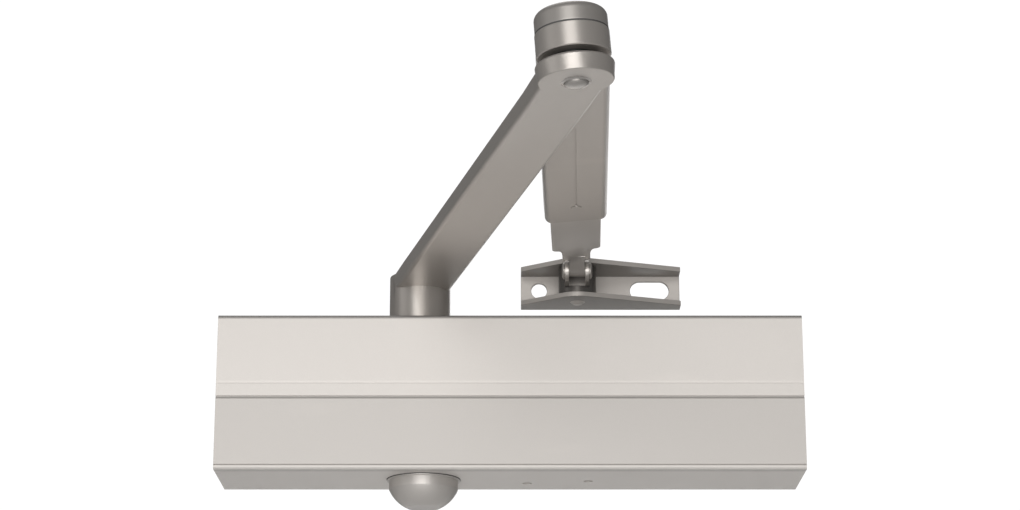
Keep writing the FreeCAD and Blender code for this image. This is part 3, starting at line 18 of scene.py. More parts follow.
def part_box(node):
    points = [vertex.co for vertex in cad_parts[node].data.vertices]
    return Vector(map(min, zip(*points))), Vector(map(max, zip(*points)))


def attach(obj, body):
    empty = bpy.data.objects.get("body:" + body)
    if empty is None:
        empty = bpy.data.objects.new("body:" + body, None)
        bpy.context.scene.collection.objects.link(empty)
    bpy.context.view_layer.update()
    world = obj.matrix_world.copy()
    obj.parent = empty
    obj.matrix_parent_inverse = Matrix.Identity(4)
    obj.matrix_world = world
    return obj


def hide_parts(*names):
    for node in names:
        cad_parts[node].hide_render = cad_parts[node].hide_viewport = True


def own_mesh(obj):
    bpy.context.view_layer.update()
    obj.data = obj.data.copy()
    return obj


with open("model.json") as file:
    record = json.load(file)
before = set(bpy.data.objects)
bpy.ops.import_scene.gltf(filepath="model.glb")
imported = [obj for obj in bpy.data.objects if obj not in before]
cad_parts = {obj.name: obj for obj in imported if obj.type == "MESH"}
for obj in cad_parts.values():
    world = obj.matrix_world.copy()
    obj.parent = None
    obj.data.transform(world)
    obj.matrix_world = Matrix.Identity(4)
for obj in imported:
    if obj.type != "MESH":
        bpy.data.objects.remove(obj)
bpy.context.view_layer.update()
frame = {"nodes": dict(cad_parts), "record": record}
nodes, record = frame["nodes"], frame["record"]
slot_of = {entry["node"]: entry["material_slot"] for entry in record["subparts"]}
body_of = {node: body for body, members in record["behaviour"]["bodies"].items() for node in members}
joint_of = {joint["name"]: joint for joint in record["behaviour"]["joints"]}
MM = 0.001

# %% [markdown]
# ## The camera
# The picture looks up at the closer from a little below and from less than a metre away, so the arms grow as
# they come towards the viewer. Where the camera stood was worked out from the outline of the box, whose edges
# run to two vanishing points. A lens of 88 mm on a sensor 36 mm wide fills the picture with the closer. It
# isn't shifted, because the picture's middle is where the camera points.

# %% Camera
CAMERA_PLACE = Vector((0, -974, -223.1)) * MM
CAMERA_TILT = math.radians(16.58)
FOCAL_PIXELS, PICTURE_WIDTH, SENSOR_WIDTH = 2485, 1020, 36
CLIP_START, CLIP_END = 0.05, 60

camera_data = bpy.data.cameras.new("camera")
camera_data.sensor_width = SENSOR_WIDTH
camera_data.lens = SENSOR_WIDTH * FOCAL_PIXELS / PICTURE_WIDTH
camera_data.clip_start, camera_data.clip_end = CLIP_START, CLIP_END
camera = bpy.data.objects.new("camera", camera_data)
camera.location = CAMERA_PLACE
camera.rotation_euler = (math.pi / 2 + CAMERA_TILT, 0, 0)
bpy.context.scene.collection.objects.link(camera)
bpy.context.scene.camera = camera
print("lens:", round(camera_data.lens, 1), "mm")

# %% [markdown]
# ## Writing materials as sums
# A procedural finish is mostly arithmetic on noise. Node trees get long when each Math node takes four
# lines, so one small class stands for a socket: adding, multiplying or subtracting it writes the Math node.
# Every other node comes from one function, which sets the node's own settings first and its sockets after.


# %% A socket that does arithmetic
class Wire:
    """One output socket. Python's operators on it add Math nodes to its tree."""

    def __init__(self, tree, socket):
        self.tree, self.socket = tree, socket

    def math(self, operation, *values):
        return add_node(self.tree, "ShaderNodeMath", {"operation": operation}, dict(enumerate(values)))

    def __add__(self, other):
        return self.math("ADD", self, other)

    def __sub__(self, other):
        return self.math("SUBTRACT", self, other)

    def __mul__(self, other):
        return self.math("MULTIPLY", self, other)

    def __truediv__(self, other):
        return self.math("DIVIDE", self, other)

    def __radd__(self, other):
        return self.math("ADD", other, self)

    def __rsub__(self, other):
        return self.math("SUBTRACT", other, self)

    def __rmul__(self, other):
        return self.math("MULTIPLY", other, self)

    def step(self, low, high):
        """0 below low, 1 above high, and an even rise between."""
        settings = {"clamp": True}
        return add_node(self.tree, "ShaderNodeMapRange", settings, {0: self, 1: low, 2: high, 3: 0, 4: 1})


def add_node(tree, kind, settings=None, values=None, output=0):
    """Adds a node, sets it up, and joins or fills its sockets. Gives back one of its outputs."""
    node = tree.nodes.new(kind)
    for name, value in (settings or {}).items():
        setattr(node, name, value)
    for key, value in (values or {}).items():
        if isinstance(value, Wire):
            tree.links.new(value.socket, node.inputs[key])
        else:
            node.inputs[key].default_value = value
    return Wire(tree, node.outputs[output])


def mix_colours(tree, factor, first, second):
    """Blends two colours. A Math node would turn them grey, so this is a Mix node."""
    settings = {"data_type": "RGBA", "clamp_factor": True}
    return add_node(tree, "ShaderNodeMix", settings, {0: factor, 6: first, 7: second}, output=2)


# %% [markdown]
# ## The parts of a finish
# Each finish is one Principled shader, fed by noise on the object's own coordinates. Object coordinates stay
# with a piece when it moves, so no pattern slides at a joint. Four helpers make an empty material, noise, a
# bump and the links into the shader, and a fifth writes a grey that may lean to a warm tone.


# %% Helpers for finishes
def new_material(name):
    """A material with an empty Principled shader, its tree and a wire of Object coordinates."""
    material = bpy.data.materials.new(name)
    material.use_nodes = True
    tree = material.node_tree
    shader = tree.nodes["Principled BSDF"]
    coordinates = add_node(tree, "ShaderNodeTexCoord", output=3)
    return material, tree, shader, coordinates


def noise(tree, place, scale, detail, stretch=(1, 1, 1)):
    """Noise between 0 and 1. Scale counts its waves in a metre, and stretch multiplies them along an axis."""
    mapping = {"Vector": place, "Scale": stretch}
    stretched = add_node(tree, "ShaderNodeMapping", {"vector_type": "POINT"}, mapping)
    values = {"Vector": stretched, "Scale": scale, "Detail": detail, "Roughness": 0.55}
    return add_node(tree, "ShaderNodeTexNoise", {"noise_dimensions": "3D"}, values)


def bump(tree, height, distance):
    """Small relief: height counts from 0 to 1, and distance is its depth in metres."""
    return add_node(tree, "ShaderNodeBump", None, {"Height": height, "Distance": distance, "Strength": 1.0})


def feed(shader, **wires):
    """Links or fills the shader's own sockets, which are named here with underscores."""
    for name, value in wires.items():
        socket = shader.inputs[name.replace("_", " ")]
        if isinstance(value, Wire):
            value.tree.links.new(value.socket, socket)
        else:
            socket.default_value = value


def grey(value, warmth=0.0):
    """A grey with more red and less blue by the share called warmth."""
    return (value * (1 + warmth), value, value * (1 - warmth), 1)


# %% [markdown]
# ## Three kinds of finish
# Almost everything that shows on the closer is painted with fine metallic silver, over sheet, forged steel
# or plastic. Zinc lies on the small fasteners, and bare steel, brass and rubber lie inside. Three functions
# cover them: metallic paint, bare metal and moulded material. Noise of several sizes feeds each of them: a
# broad drift in tone that a sprayed coat has, the sparkle of its flakes, and a fine bump. Edges of handled
# metal wear brighter. A reading of edges would work only on dense meshes, so the rubbing is stretched noise.


# %% Paint, bare metal and moulded material
DRIFT_WAVES, FLAKE_WAVES, PEEL_WAVES, RUB_WAVES = 14, 2600, 900, 60
STAIN_WAVES, SCRATCH_WAVES, DUST_WAVES = 45, 240, 35


def painted(name, tone, metal, roughness, warmth, flake=0.5, wear=0.3, pits=0.000008, shade=None):
    """Metallic paint: drifting tone, flakes that sparkle, fine waves in the coat and rubbed marks. A shade
    function may give a factor that paints shade into the coat from place to place."""
    material, tree, shader, place = new_material(name)
    drift = noise(tree, place, DRIFT_WAVES, detail=2)
    sparkle = noise(tree, place, FLAKE_WAVES, detail=1)
    peel = noise(tree, place, PEEL_WAVES, detail=2)
    rubbed = noise(tree, place, RUB_WAVES, detail=5, stretch=(0.25, 1, 1)).step(0.62, 0.8) * wear
    blend = drift * 0.55 + sparkle * flake * 0.9
    colour = mix_colours(tree, blend, grey(tone * 0.93, warmth), grey(tone * 1.07, warmth))
    colour = mix_colours(tree, rubbed, colour, grey(tone * 1.12, warmth * 1.2))
    if shade:
        # Painted shade: the shade factor darkens the coat towards a fifth of its tone.
        colour = mix_colours(tree, shade(tree, place), colour, grey(tone * 0.2, warmth))
    gloss = roughness + (drift - 0.5) * 0.08 + (sparkle - 0.5) * 0.12 - rubbed * 0.06
    feed(shader, Base_Color=colour, Metallic=metal, Roughness=gloss)
    feed(shader, Normal=bump(tree, peel * 0.6 + sparkle * 0.4, pits))
    return material


def bare_metal(name, colour, roughness, grain=(1, 1, 1), lines=700, depth=0.00002):
    """Plated, ground or turned metal: grain along one way, stains and a few fine scratches."""
    material, tree, shader, place = new_material(name)
    dark = tuple(0.72 * channel for channel in colour[:3]) + (1,)
    grained = noise(tree, place, lines, detail=4, stretch=grain)
    cloud = noise(tree, place, STAIN_WAVES, detail=4)
    scratch = noise(tree, place, SCRATCH_WAVES, detail=2, stretch=(6, 0.4, 1)).step(0.7, 0.74)
    stained = mix_colours(tree, cloud.step(0.3, 0.75) * 0.6 + grained * 0.25, colour, dark)
    gloss = roughness + (grained - 0.5) * 0.22 + (cloud - 0.5) * 0.12 + scratch * 0.08
    feed(shader, Base_Color=stained, Metallic=1.0, Roughness=gloss)
    feed(shader, Normal=bump(tree, grained - scratch * 0.5, depth))
    return material


def moulded(name, colour, roughness, depth=0.00003, scale=1500):
    """Plastic or rubber: an even colour with a fine matt grain and a little dust."""
    material, tree, shader, place = new_material(name)
    grain = noise(tree, place, scale, detail=3)
    dust = noise(tree, place, DUST_WAVES, detail=5).step(0.5, 0.9)
    light = tuple(min(1, channel * 1.12 + 0.01) for channel in colour[:3]) + (1,)
    feed(shader, Base_Color=mix_colours(tree, dust * 0.5 + grain * 0.2, colour, light))
    feed(shader, Metallic=0.0, Roughness=roughness + (grain - 0.5) * 0.15 + dust * 0.05)
    feed(shader, Normal=bump(tree, grain, depth))
    return material


# %% [markdown]
# ## Painted shade
# Shade is painted into the coat where it falls: on the undersides of the shoe's two flanges, on the swivel's
# barrel, in the groove along the cover's front, on the cover's lower panel, along its top edge and on the
# underside behind its front edge. A shade function gives a factor for this painted shade. It is made of steps
# along an axis, in millimetres: one that rises times one that falls makes a band. The bands on the cover and
# the shoe take their places from the piece's own corners, and the swivel's barrel starts at a distance from
# the door.


# %% Painted shade on the cover, the shoe and the swivel
cover_low, cover_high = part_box("cover")
COVER_TOP, COVER_DEPTH = cover_high[2] / MM, -cover_low[1] / MM
GROOVE_ABOVE_FOOT, SHOE_SHEET = 28.4, 2
GROOVE_HEIGHT = GROOVE_ABOVE_FOOT - COVER_TOP
shoe_low, shoe_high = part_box("shoe_bracket")
SHOE_FOOT, SHOE_INSIDE = shoe_low[2] / MM, shoe_high[2] / MM - SHOE_SHEET

FLANGE_STARTS, FLANGE_ENDS, SHOE_FOOT_ENDS = (-0.2, -0.1), (0.05, 0.15), (0.1, 0.2)
FACE_ENDS, LIP_STARTS, LIP_ENDS = (1.2, 2.2), (0.9, 1.5), (3, 6)
PANEL_STARTS, PANEL_ENDS = (0.8, 1.4), (-0.2, 0.2)
GROOVE_STARTS, GROOVE_ENDS = (-0.5, -0.3), (0.2, 0.4)
TOP_EDGE_STARTS, UNDERSIDE_ENDS = (-1.9, -0.7), (0.05, 0.15)
BARREL_STARTS = (-22.2, -21.4)
# How dark each band of painted shade is.
FLANGE_DARK, SHOE_FOOT_DARK, BARREL_DARK = 0.55, 0.5, 0.85
PANEL_DARK, GROOVE_DARK, TOP_EDGE_DARK, LIP_DARK = 0.22, 0.5, 0.75, 0.3


def along_axes(tree, place):
    """The three Object coordinates as wires in millimetres."""
    split = tree.nodes.new("ShaderNodeSeparateXYZ")
    tree.links.new(place.socket, split.inputs[0])
    return [Wire(tree, socket) / MM for socket in split.outputs]


def past(wire, place, span):
    """0 before a place and 1 past it. It rises over a span of distances from the place."""
    return wire.step(place + span[0], place + span[1])


def shoe_painted_shade(tree, place):
    """Painted shade under the shoe's top flange and on the underside of its lower flange."""
    _, _, height = along_axes(tree, place)
    under_top = past(height, SHOE_INSIDE, FLANGE_STARTS) * (1 - past(height, SHOE_INSIDE, FLANGE_ENDS))
    below = 1 - past(height, SHOE_FOOT, SHOE_FOOT_ENDS)
    return under_top * FLANGE_DARK + below * SHOE_FOOT_DARK


def swivel_painted_shade(tree, place):
    """Painted shade on the swivel's barrel, behind its ears."""
    _, depth, _ = along_axes(tree, place)
    return past(depth, 0, BARREL_STARTS) * BARREL_DARK


def cover_painted_shade(tree, place):
    """Painted shade on the cover's lower panel, in its groove, along its top edge and under its front edge.
    """
    _, depth, height = along_axes(tree, place)
    on_face = 1 - past(depth, -COVER_DEPTH, FACE_ENDS)
    low_panel = past(height, -COVER_TOP, PANEL_STARTS) * (1 - past(height, GROOVE_HEIGHT, PANEL_ENDS))
    groove = past(height, GROOVE_HEIGHT, GROOVE_STARTS) * (1 - past(height, GROOVE_HEIGHT, GROOVE_ENDS))
    top_edge = past(height, COVER_TOP, TOP_EDGE_STARTS)
    under = 1 - past(height, -COVER_TOP, UNDERSIDE_ENDS)
    lip = past(depth, -COVER_DEPTH, LIP_STARTS) * (1 - past(depth, -COVER_DEPTH, LIP_ENDS))
    bands = low_panel * PANEL_DARK + groove * GROOVE_DARK + top_edge * TOP_EDGE_DARK
    return bands * on_face + lip * under * LIP_DARK


print("cover:", round(2 * COVER_TOP, 1), "mm high, groove at", round(GROOVE_HEIGHT, 2), "mm")

# %% [markdown]
# ## The finishes of this closer
# The CAD model gives each piece a finish slot. Silver paint never looks the same on two pieces: it lies matt
# on the cover's sheet, glossier and darker on forged steel, and thin on rivet heads. So some pieces have a
# paint of their own, and every other piece has the finish of its slot. Some of these own paints hold painted
# light or shade: the shoe and the swivel carry painted shade, the bar and the shoe's rivet carry a lighter
# silver as painted light, and the elbow's spacer is near black as a painted shadow in the elbow's gap.


# %% Finishes by slot and by piece
finishes = {
    "cover_paint": painted(
        "silver_paint_on_cover", tone=0.6, metal=0.25, roughness=0.5, warmth=0.06, shade=cover_painted_shade
    ),
    "arm_paint": painted(
        "silver_paint_on_arms", tone=0.41, metal=0.65, roughness=0.34, warmth=0.075, wear=0.5
    ),
    "cast_metal": painted(
        "cast_body_metal", tone=0.45, metal=0.85, roughness=0.5, warmth=0.01, flake=0.8, wear=0.1, pits=0.0001
    ),
    "plated_steel": bare_metal("zinc_plate", grey(0.55, 0.01), roughness=0.32),
    "bright_steel": bare_metal("ground_steel", grey(0.6), roughness=0.22, grain=(1, 1, 8)),
    "spring_steel": bare_metal("oiled_spring_wire", grey(0.2), roughness=0.35),
    "brass": bare_metal("turned_brass", (0.66, 0.48, 0.2, 1), roughness=0.3),
    "seal_rubber": moulded("grey_seal_rubber", (0.07, 0.068, 0.065, 1), roughness=0.6),
    "cap_plastic": painted(
        "silver_paint_on_spindle_cap", tone=0.46, metal=0.5, roughness=0.42, warmth=0.06, wear=0.2
    ),
}
own_look = {
    "shoe_bracket": painted(
        "silver_paint_on_shoe", tone=0.43, metal=0.45, roughness=0.46, warmth=0.07, shade=shoe_painted_shade
    ),
    "swivel_block": painted(
        "silver_paint_on_swivel",
        tone=0.4, metal=0.6, roughness=0.3, warmth=0.07, wear=0.2, shade=swivel_painted_shade,
    ),
    "elbow_pin": painted(
        "silver_paint_on_rivets", tone=0.42, metal=0.85, roughness=0.22, warmth=0.06, wear=0.6
    ),
    # Painted light: the shoe's rivet head carries a lighter silver than the shoe.
    "shoe_pin": painted(
        "lighter_silver_on_shoe_rivet_as_painted_light", tone=0.52, metal=0.3, roughness=0.4, warmth=0.06, wear=0.4
    ),
    # Painted shadow: the elbow's spacer is near black, so the gap round it reads as shade.
    "elbow_spacer": bare_metal("near_black_steel_as_painted_gap_shadow", grey(0.05), roughness=0.6),
    "elbow_cap": painted(
        "silver_paint_on_elbow_cap", tone=0.34, metal=0.6, roughness=0.4, warmth=0.065, wear=0.2
    ),
    # Painted light: the bar carries the arms' silver made lighter.
    "forearm_bar": painted(
        "lighter_silver_on_bar_as_painted_light", tone=0.5, metal=0.6, roughness=0.36, warmth=0.06, wear=0.5
    ),
}
looks = {node: own_look.get(node, finishes[slot_of[node]]) for node in nodes}
for node, item in nodes.items():
    item.data.materials.clear()
    item.data.materials.append(looks[node])
print("finishes:", sorted(finishes), "own looks:", sorted(own_look))

# %% [markdown]
# ## Copies to work on
# The CAD pieces themselves stay as they are, and the visible ones are replaced by copies. A CAD mesh is loose
# triangles, so a copy has its doubles merged and its flat faces joined before anything is done to it. Each
# finished piece takes the look of the CAD piece it stands in for, or the finish of its slot, rides on its
# body, and hides the CAD pieces it stands in for.


# %% Finished pieces and copies of CAD pieces
MERGE_DISTANCE, FLAT_ANGLE = 2e-6, math.radians(0.5)


def finish_mesh(name, mesh, slot, body, *replaced):
    """Turns a mesh into a finished piece that rides on a body in place of CAD nodes, and looks like them."""
    piece = bpy.data.objects.new(name, mesh)
    bpy.context.scene.collection.objects.link(piece)
    mesh.materials.clear()
    mesh.materials.append(looks[replaced[0]] if replaced else finishes[slot])
    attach(piece, body)
    if replaced:
        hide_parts(*replaced)
    return piece


def merged_copy(node):
    """A copy of a CAD node's mesh with its loose triangles joined."""
    mesh = nodes[node].data.copy()
    work = bmesh.new()
    work.from_mesh(mesh)
    bmesh.ops.remove_doubles(work, verts=work.verts, dist=MERGE_DISTANCE)
    bmesh.ops.dissolve_limit(work, angle_limit=FLAT_ANGLE, verts=work.verts, edges=work.edges)
    for face in work.faces:
        face.smooth = True
    work.to_mesh(mesh)
    work.free()
    return mesh


def joint_place(joint):
    """The matrix that stands a piece made about Z on the axis of a joint."""
    turn = Vector(joint_of[joint]["axis"]).to_track_quat("Z", "Y")
    return Matrix.LocRotScale(Vector(joint_of[joint]["pos_m"]), turn, None)


# %% [markdown]
# ## Pressed shoulders and rivet heads
# Two forms of the real closer come from tools that leave no exact curve. The press that cuts the sliding bar
# draws the step between its shoulder and its neck out to one long curve, and a rivet's head is rounded by
# hammering. The CAD model has a plain radius and a shallow head there. Moving the points of the copies is
# enough: a point on the bar's quarter circle goes to the same place on a long ellipse, and a point on a head
# goes to a dome. Each point keeps its neighbours, so the piece stays closed.


# %% Eased shoulders and rounder heads
STEP_PLACE, STEP_RADIUS, EASE_LENGTH = 17.0, 1.2, 6.5
NECK_HALF, SHOULDER_HALF = 5.45, 6.95
PLACE_SLACK, WIDTH_SLACK = 0.01, 0.02
PAST_BASE, COLLAR = 1.001, 0.1
rivet_heads = {
    "elbow_pin": {"joint": "elbow_swing", "base": -2.9, "rim": 4.9, "dome": 4.0, "rise": 1.9},
    "shoe_pin": {"joint": "shoe_swivel", "base": -8.05, "rim": 3.1, "dome": 2.4, "rise": 1.1},
}


def ease_shoulders(mesh):
    """Draws the bar's step between shoulder and neck out to one long curve, as a press leaves it."""
    along = Vector(joint_of["forearm_adjust"]["axis"])
    flat = max(mesh.polygons, key=lambda face: face.area).normal
    across = along.cross(flat).normalized()
    reach = [along.dot(vertex.co) / MM for vertex in mesh.vertices]
    width = [across.dot(vertex.co) / MM for vertex in mesh.vertices]
    middle = (max(width) + min(width)) / 2
    for vertex, place, aside in zip(mesh.vertices, reach, width):
        from_tip, out = max(reach) - place, abs(aside - middle)
        on_step = STEP_PLACE - PLACE_SLACK < from_tip < STEP_PLACE + STEP_RADIUS + PLACE_SLACK
        if on_step and NECK_HALF - WIDTH_SLACK < out < NECK_HALF + STEP_RADIUS + WIDTH_SLACK:
            sine = min(1, max(0, (from_tip - STEP_PLACE) / STEP_RADIUS))
            new_from_tip = STEP_PLACE + EASE_LENGTH * sine
            new_out = SHOULDER_HALF - (SHOULDER_HALF - NECK_HALF) * math.sqrt(1 - sine**2)
            side = 1 if aside > middle else -1
            vertex.co += (across * side * (new_out - out) - along * (new_from_tip - from_tip)) * MM
    return mesh


def round_head(mesh, joint, base, rim, dome, rise):
    """Makes a shallow rivet head rounder. It starts at a height called base and reaches out to a rim. The new
    head is a dome of a smaller radius that rises from a low collar."""
    place = joint_place(joint)
    for vertex in mesh.vertices:
        local = place.inverted() @ vertex.co / MM
        radius = math.hypot(local.x, local.y)
        beyond = local.z / base
        if beyond > PAST_BASE and 0 < radius < rim:
            turned = math.pi / 2 * radius / rim
            scale = dome * math.sin(turned) / radius
            local.x, local.y = local.x * scale, local.y * scale
            local.z = base * (1 + (COLLAR + rise * math.cos(turned)) / abs(base))
            vertex.co = place @ (local * MM)
    return mesh


def reshaped_copy(node):
    """A merged copy of a CAD node with its shoulders or its head reshaped, where it has such a form."""
    mesh = merged_copy(node)
    if node == "forearm_bar":
        return ease_shoulders(mesh)
    if node in rivet_heads:
        return round_head(mesh, **rivet_heads[node])
    return mesh


# %% [markdown]
# ## Softening the edges
# A CAD solid has perfectly sharp edges, and nothing real has. Light catches a rounded edge as a thin bright
# line, which is most of what makes painted metal read as metal. A Bevel modifier rounds the edges that turn
# sharply, by a few tenths of a millimetre as paint leaves on sheet, and by more on the cast body and on the
# elbow's cap. Weighted normals keep the flat faces flat beside the rounded edges.


# %% Rounded edges
SHARP_ANGLE, ROUND_STEPS = math.radians(32), 3


def soften(node, radius):
    """A CAD node's copy with its sharp edges rounded; radius in millimetres."""
    piece = finish_mesh(f"{node}_soft", reshaped_copy(node), slot_of[node], body_of[node], node)
    bevel = piece.modifiers.new("rounded_edges", "BEVEL")
    bevel.width, bevel.segments = radius * MM, ROUND_STEPS
    bevel.limit_method, bevel.angle_limit = "ANGLE", SHARP_ANGLE
    bevel.use_clamp_overlap = True
    even = piece.modifiers.new("flat_faces_stay_flat", "WEIGHTED_NORMAL")
    even.keep_sharp = True


soft_radius = {
    "cover": 0.25,
    "main_arm": 0.3,
    "forearm_tube": 0.3,
    "forearm_bar": 0.35,
    "shoe_bracket": 0.3,
    "spindle_cap": 0.15,
    "elbow_cap": 0.45,
    "elbow_pin": 0.12,
    "elbow_spacer": 0.15,
    "hub_screw": 0.15,
    "hub_washer": 0.15,
    "clamp_screw": 0.2,
    "ear_rivet": 0.2,
    "swivel_block": 0.3,
    "shoe_pin": 0.2,
    "closer_body": 0.5,
}
for node, radius in soft_radius.items():
    soften(node, radius)
print("softened:", len(soft_radius))

# %% [markdown]
# ## The spring in two lengths
# The closing spring is pressed from both ends: by the piston when the door opens, and by its plate when the
# power screw is turned. A piece can flatten with one joint only, so the spring is cut near the plate into a
# long part on the piston's side and a short part on the plate's side. Each part's length and its joint's
# travel are printed.


# %% The spring cut into two lengths
SPRING_CUT = 53 * MM


def spring_length(name, joint, keep_low):
    """The spring's lower or upper side along X, from the cut on. Its length and its joint's travel are
    printed.
    """
    mesh = merged_copy("main_spring")
    work = bmesh.new()
    work.from_mesh(mesh)
    everything = list(work.verts) + list(work.edges) + list(work.faces)
    plane = {"plane_co": (SPRING_CUT, 0, 0), "plane_no": (1, 0, 0)}
    cleared = {"clear_outer": keep_low, "clear_inner": not keep_low}
    bmesh.ops.bisect_plane(work, geom=everything, **plane, **cleared)
    bmesh.ops.holes_fill(work, edges=[edge for edge in work.edges if edge.is_boundary])
    work.to_mesh(mesh)
    work.free()
    low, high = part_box("main_spring")
    length = SPRING_CUT - low[0] if keep_low else high[0] - SPRING_CUT
    travel = max(abs(limit) for limit in joint_of[joint]["range_m"])
    replaced = ["main_spring"] if keep_low else []
    piece = finish_mesh(name, mesh, slot_of["main_spring"], body_of["main_spring"], *replaced)
    (length - travel) / length
    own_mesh(piece)
    print(name, "length", round(length / MM, 1), "mm, gives way", round(travel / MM, 1), "mm")


spring_length("spring_at_piston", "piston_slide", keep_low=True)
spring_length("spring_at_plate", "plate_slide", keep_low=False)

# %% [markdown]
# ## Growing what repeats
# Some forms repeat so finely that the CAD model leaves them plain: the thread of the clamp screw and the
# knurl round both screw heads. Geometry Nodes grow them. A tree is a recipe with named inputs for its sizes.
# It ends by making its instances real and giving them their finish. A modifier then evaluates the tree on an
# empty mesh, the result is kept as a plain mesh, and the modifier goes away with its object.


# %% Geometry Nodes helpers
def growing_tree(name, sizes, counts=()):
    """An empty Geometry Nodes tree with named inputs. Gives back the tree and a wire for each input."""
    tree = bpy.data.node_groups.new(name, "GeometryNodeTree")
    tree.interface.new_socket("Geometry", in_out="OUTPUT", socket_type="NodeSocketGeometry")
    for label in sizes:
        tree.interface.new_socket(label, in_out="INPUT", socket_type="NodeSocketFloat")
    for label in counts:
        tree.interface.new_socket(label, in_out="INPUT", socket_type="NodeSocketInt")
    tree.interface.new_socket("Finish", in_out="INPUT", socket_type="NodeSocketMaterial")
    entry = tree.nodes.new("NodeGroupInput")
    return tree, {socket.name: Wire(tree, socket) for socket in entry.outputs if socket.name}


def close_tree(tree, wires, geometry):
    """Makes instances real, gives them their finish and sends them out."""
    real = add_node(tree, "GeometryNodeRealizeInstances", None, {0: geometry})
    finished_values = {"Geometry": real, "Material": wires["Finish"]}
    finished = add_node(tree, "GeometryNodeSetMaterial", None, finished_values)
    tree.links.new(finished.socket, tree.nodes.new("NodeGroupOutput").inputs[0])
    return tree


def grow(tree, values, place):
    """Evaluates a tree with the given sizes and gives back a plain mesh, put in its place."""
    host = bpy.data.objects.new("seedbed", bpy.data.meshes.new("seedbed"))
    bpy.context.scene.collection.objects.link(host)
    modifier = host.modifiers.new("grown", "NODES")
    modifier.node_group = tree
    for item in tree.interface.items_tree:
        if item.in_out == "INPUT":
            modifier[item.identifier] = values[item.name]
    evaluated = host.evaluated_get(bpy.context.evaluated_depsgraph_get())
    mesh = bpy.data.meshes.new_from_object(evaluated)
    bpy.data.objects.remove(host)
    mesh.transform(place)
    return mesh


# %% [markdown]
# ## Two recipes
# A thread is a small four-sided profile swept along a spiral whose radius stays the same. A knurl is a ring
# of upright square bars that stand on their edge, each turned to face outwards. One knurl tree serves both
# screw heads, because its radius, height and count are inputs.


# %% A thread and a knurl
def thread_tree():
    """A ridge that winds up a shank: a four-sided profile swept along a spiral."""
    tree, wires = growing_tree("thread", ("Radius", "Pitch", "Length", "Ridge"))
    turns = wires["Length"] / wires["Pitch"]
    spiral_values = {"Resolution": 40, "Rotations": turns, "Height": wires["Length"]}
    spiral_values |= {"Start Radius": wires["Radius"], "End Radius": wires["Radius"]}
    spiral = add_node(tree, "GeometryNodeCurveSpiral", None, spiral_values)
    upright = add_node(tree, "GeometryNodeSetCurveNormal", None, {"Curve": spiral})
    profile_values = {"Resolution": 4, "Radius": wires["Ridge"]}
    profile = add_node(tree, "GeometryNodeCurvePrimitiveCircle", None, profile_values)
    swept_values = {"Curve": upright, "Profile Curve": profile, "Fill Caps": True}
    return close_tree(tree, wires, add_node(tree, "GeometryNodeCurveToMesh", None, swept_values))


def knurl_tree():
    """Upright ridges, each a square bar on its edge, set round a head."""
    tree, wires = growing_tree("knurl", ("Radius", "Height", "Ridge"), ("Count",))
    ring_values = {"Vertices": wires["Count"], "Radius": wires["Radius"]}
    ring = add_node(tree, "GeometryNodeMeshCircle", None, ring_values)
    section = {"X": wires["Ridge"], "Y": wires["Ridge"], "Z": wires["Height"]}
    bar_size = add_node(tree, "ShaderNodeCombineXYZ", None, section)
    bar = add_node(tree, "GeometryNodeMeshCube", None, {"Size": bar_size})
    on_edge_values = {"Geometry": bar, "Rotation": (0, 0, math.pi / 4)}
    on_edge = add_node(tree, "GeometryNodeTransform", None, on_edge_values)
    outward_values = {"Vector": add_node(tree, "GeometryNodeInputPosition")}
    outward = add_node(tree, "FunctionNodeAlignRotationToVector", {"axis": "X"}, outward_values)
    placed_values = {"Points": ring, "Instance": on_edge, "Rotation": outward}
    return close_tree(tree, wires, add_node(tree, "GeometryNodeInstanceOnPoints", None, placed_values))


# %% [markdown]
# ## The screws get their knurl and thread
# Sizes and places are read from the CAD pieces. A piece's corners, seen from the axis it turns on, are
# heights and radii: the widest ones are the head's side, and the narrow ones are the shank. The thread runs
# from the top of the tube's boss to the foot of the clamp screw's head, where the shank lies bare.


# %% Knurled heads and a threaded shank
SHANK_LIMIT, BOSS_LIMIT = 3.2 * MM, 6.2 * MM
SIDE_SLACK = 0.02 * MM
KNURL_RIDGE, KNURL_SINK, KNURL_SHARE, KNURL_COUNT = 0.36 * MM, 0.1 * MM, 0.86, 48
THREAD_PITCH, THREAD_RIDGE, THREAD_SINK = 1.0 * MM, 0.3 * MM, 0.02 * MM


def profile_of(node, place):
    """A node's corners as heights and radii about an axis, in metres."""
    seen = [place.inverted() @ vertex.co for vertex in nodes[node].data.vertices]
    return [(corner.z, math.hypot(corner.x, corner.y)) for corner in seen]


clamp_place, spindle_place = joint_place("clamp_screw_turn"), joint_place("pinion_turn")
clamp_profile = profile_of("clamp_screw", clamp_place)
hub_profile = profile_of("hub_screw", spindle_place)
boss_profile = profile_of("forearm_tube", clamp_place)
heads = (("clamp_screw", clamp_profile, clamp_place), ("hub_screw", hub_profile, spindle_place))

knurl, thread = knurl_tree(), thread_tree()
for node, profile, place in heads:
    head_radius = max(radius for _, radius in profile)
    side = [height for height, radius in profile if radius > head_radius - SIDE_SLACK]
    foot, top = min(side), max(side)
    sizes = {"Radius": head_radius - KNURL_SINK, "Height": KNURL_SHARE * (top - foot)}
    sizes |= {"Ridge": KNURL_RIDGE, "Count": KNURL_COUNT, "Finish": finishes[slot_of[node]]}
    ridges = grow(knurl, sizes, place @ Matrix.Translation((0, 0, (foot + top) / 2)))
    finish_mesh(f"{node}_knurl", ridges, slot_of[node], body_of[node])
    print(node, "head", round(head_radius / MM, 2), "mm, side", round((top - foot) / MM, 2), "mm")

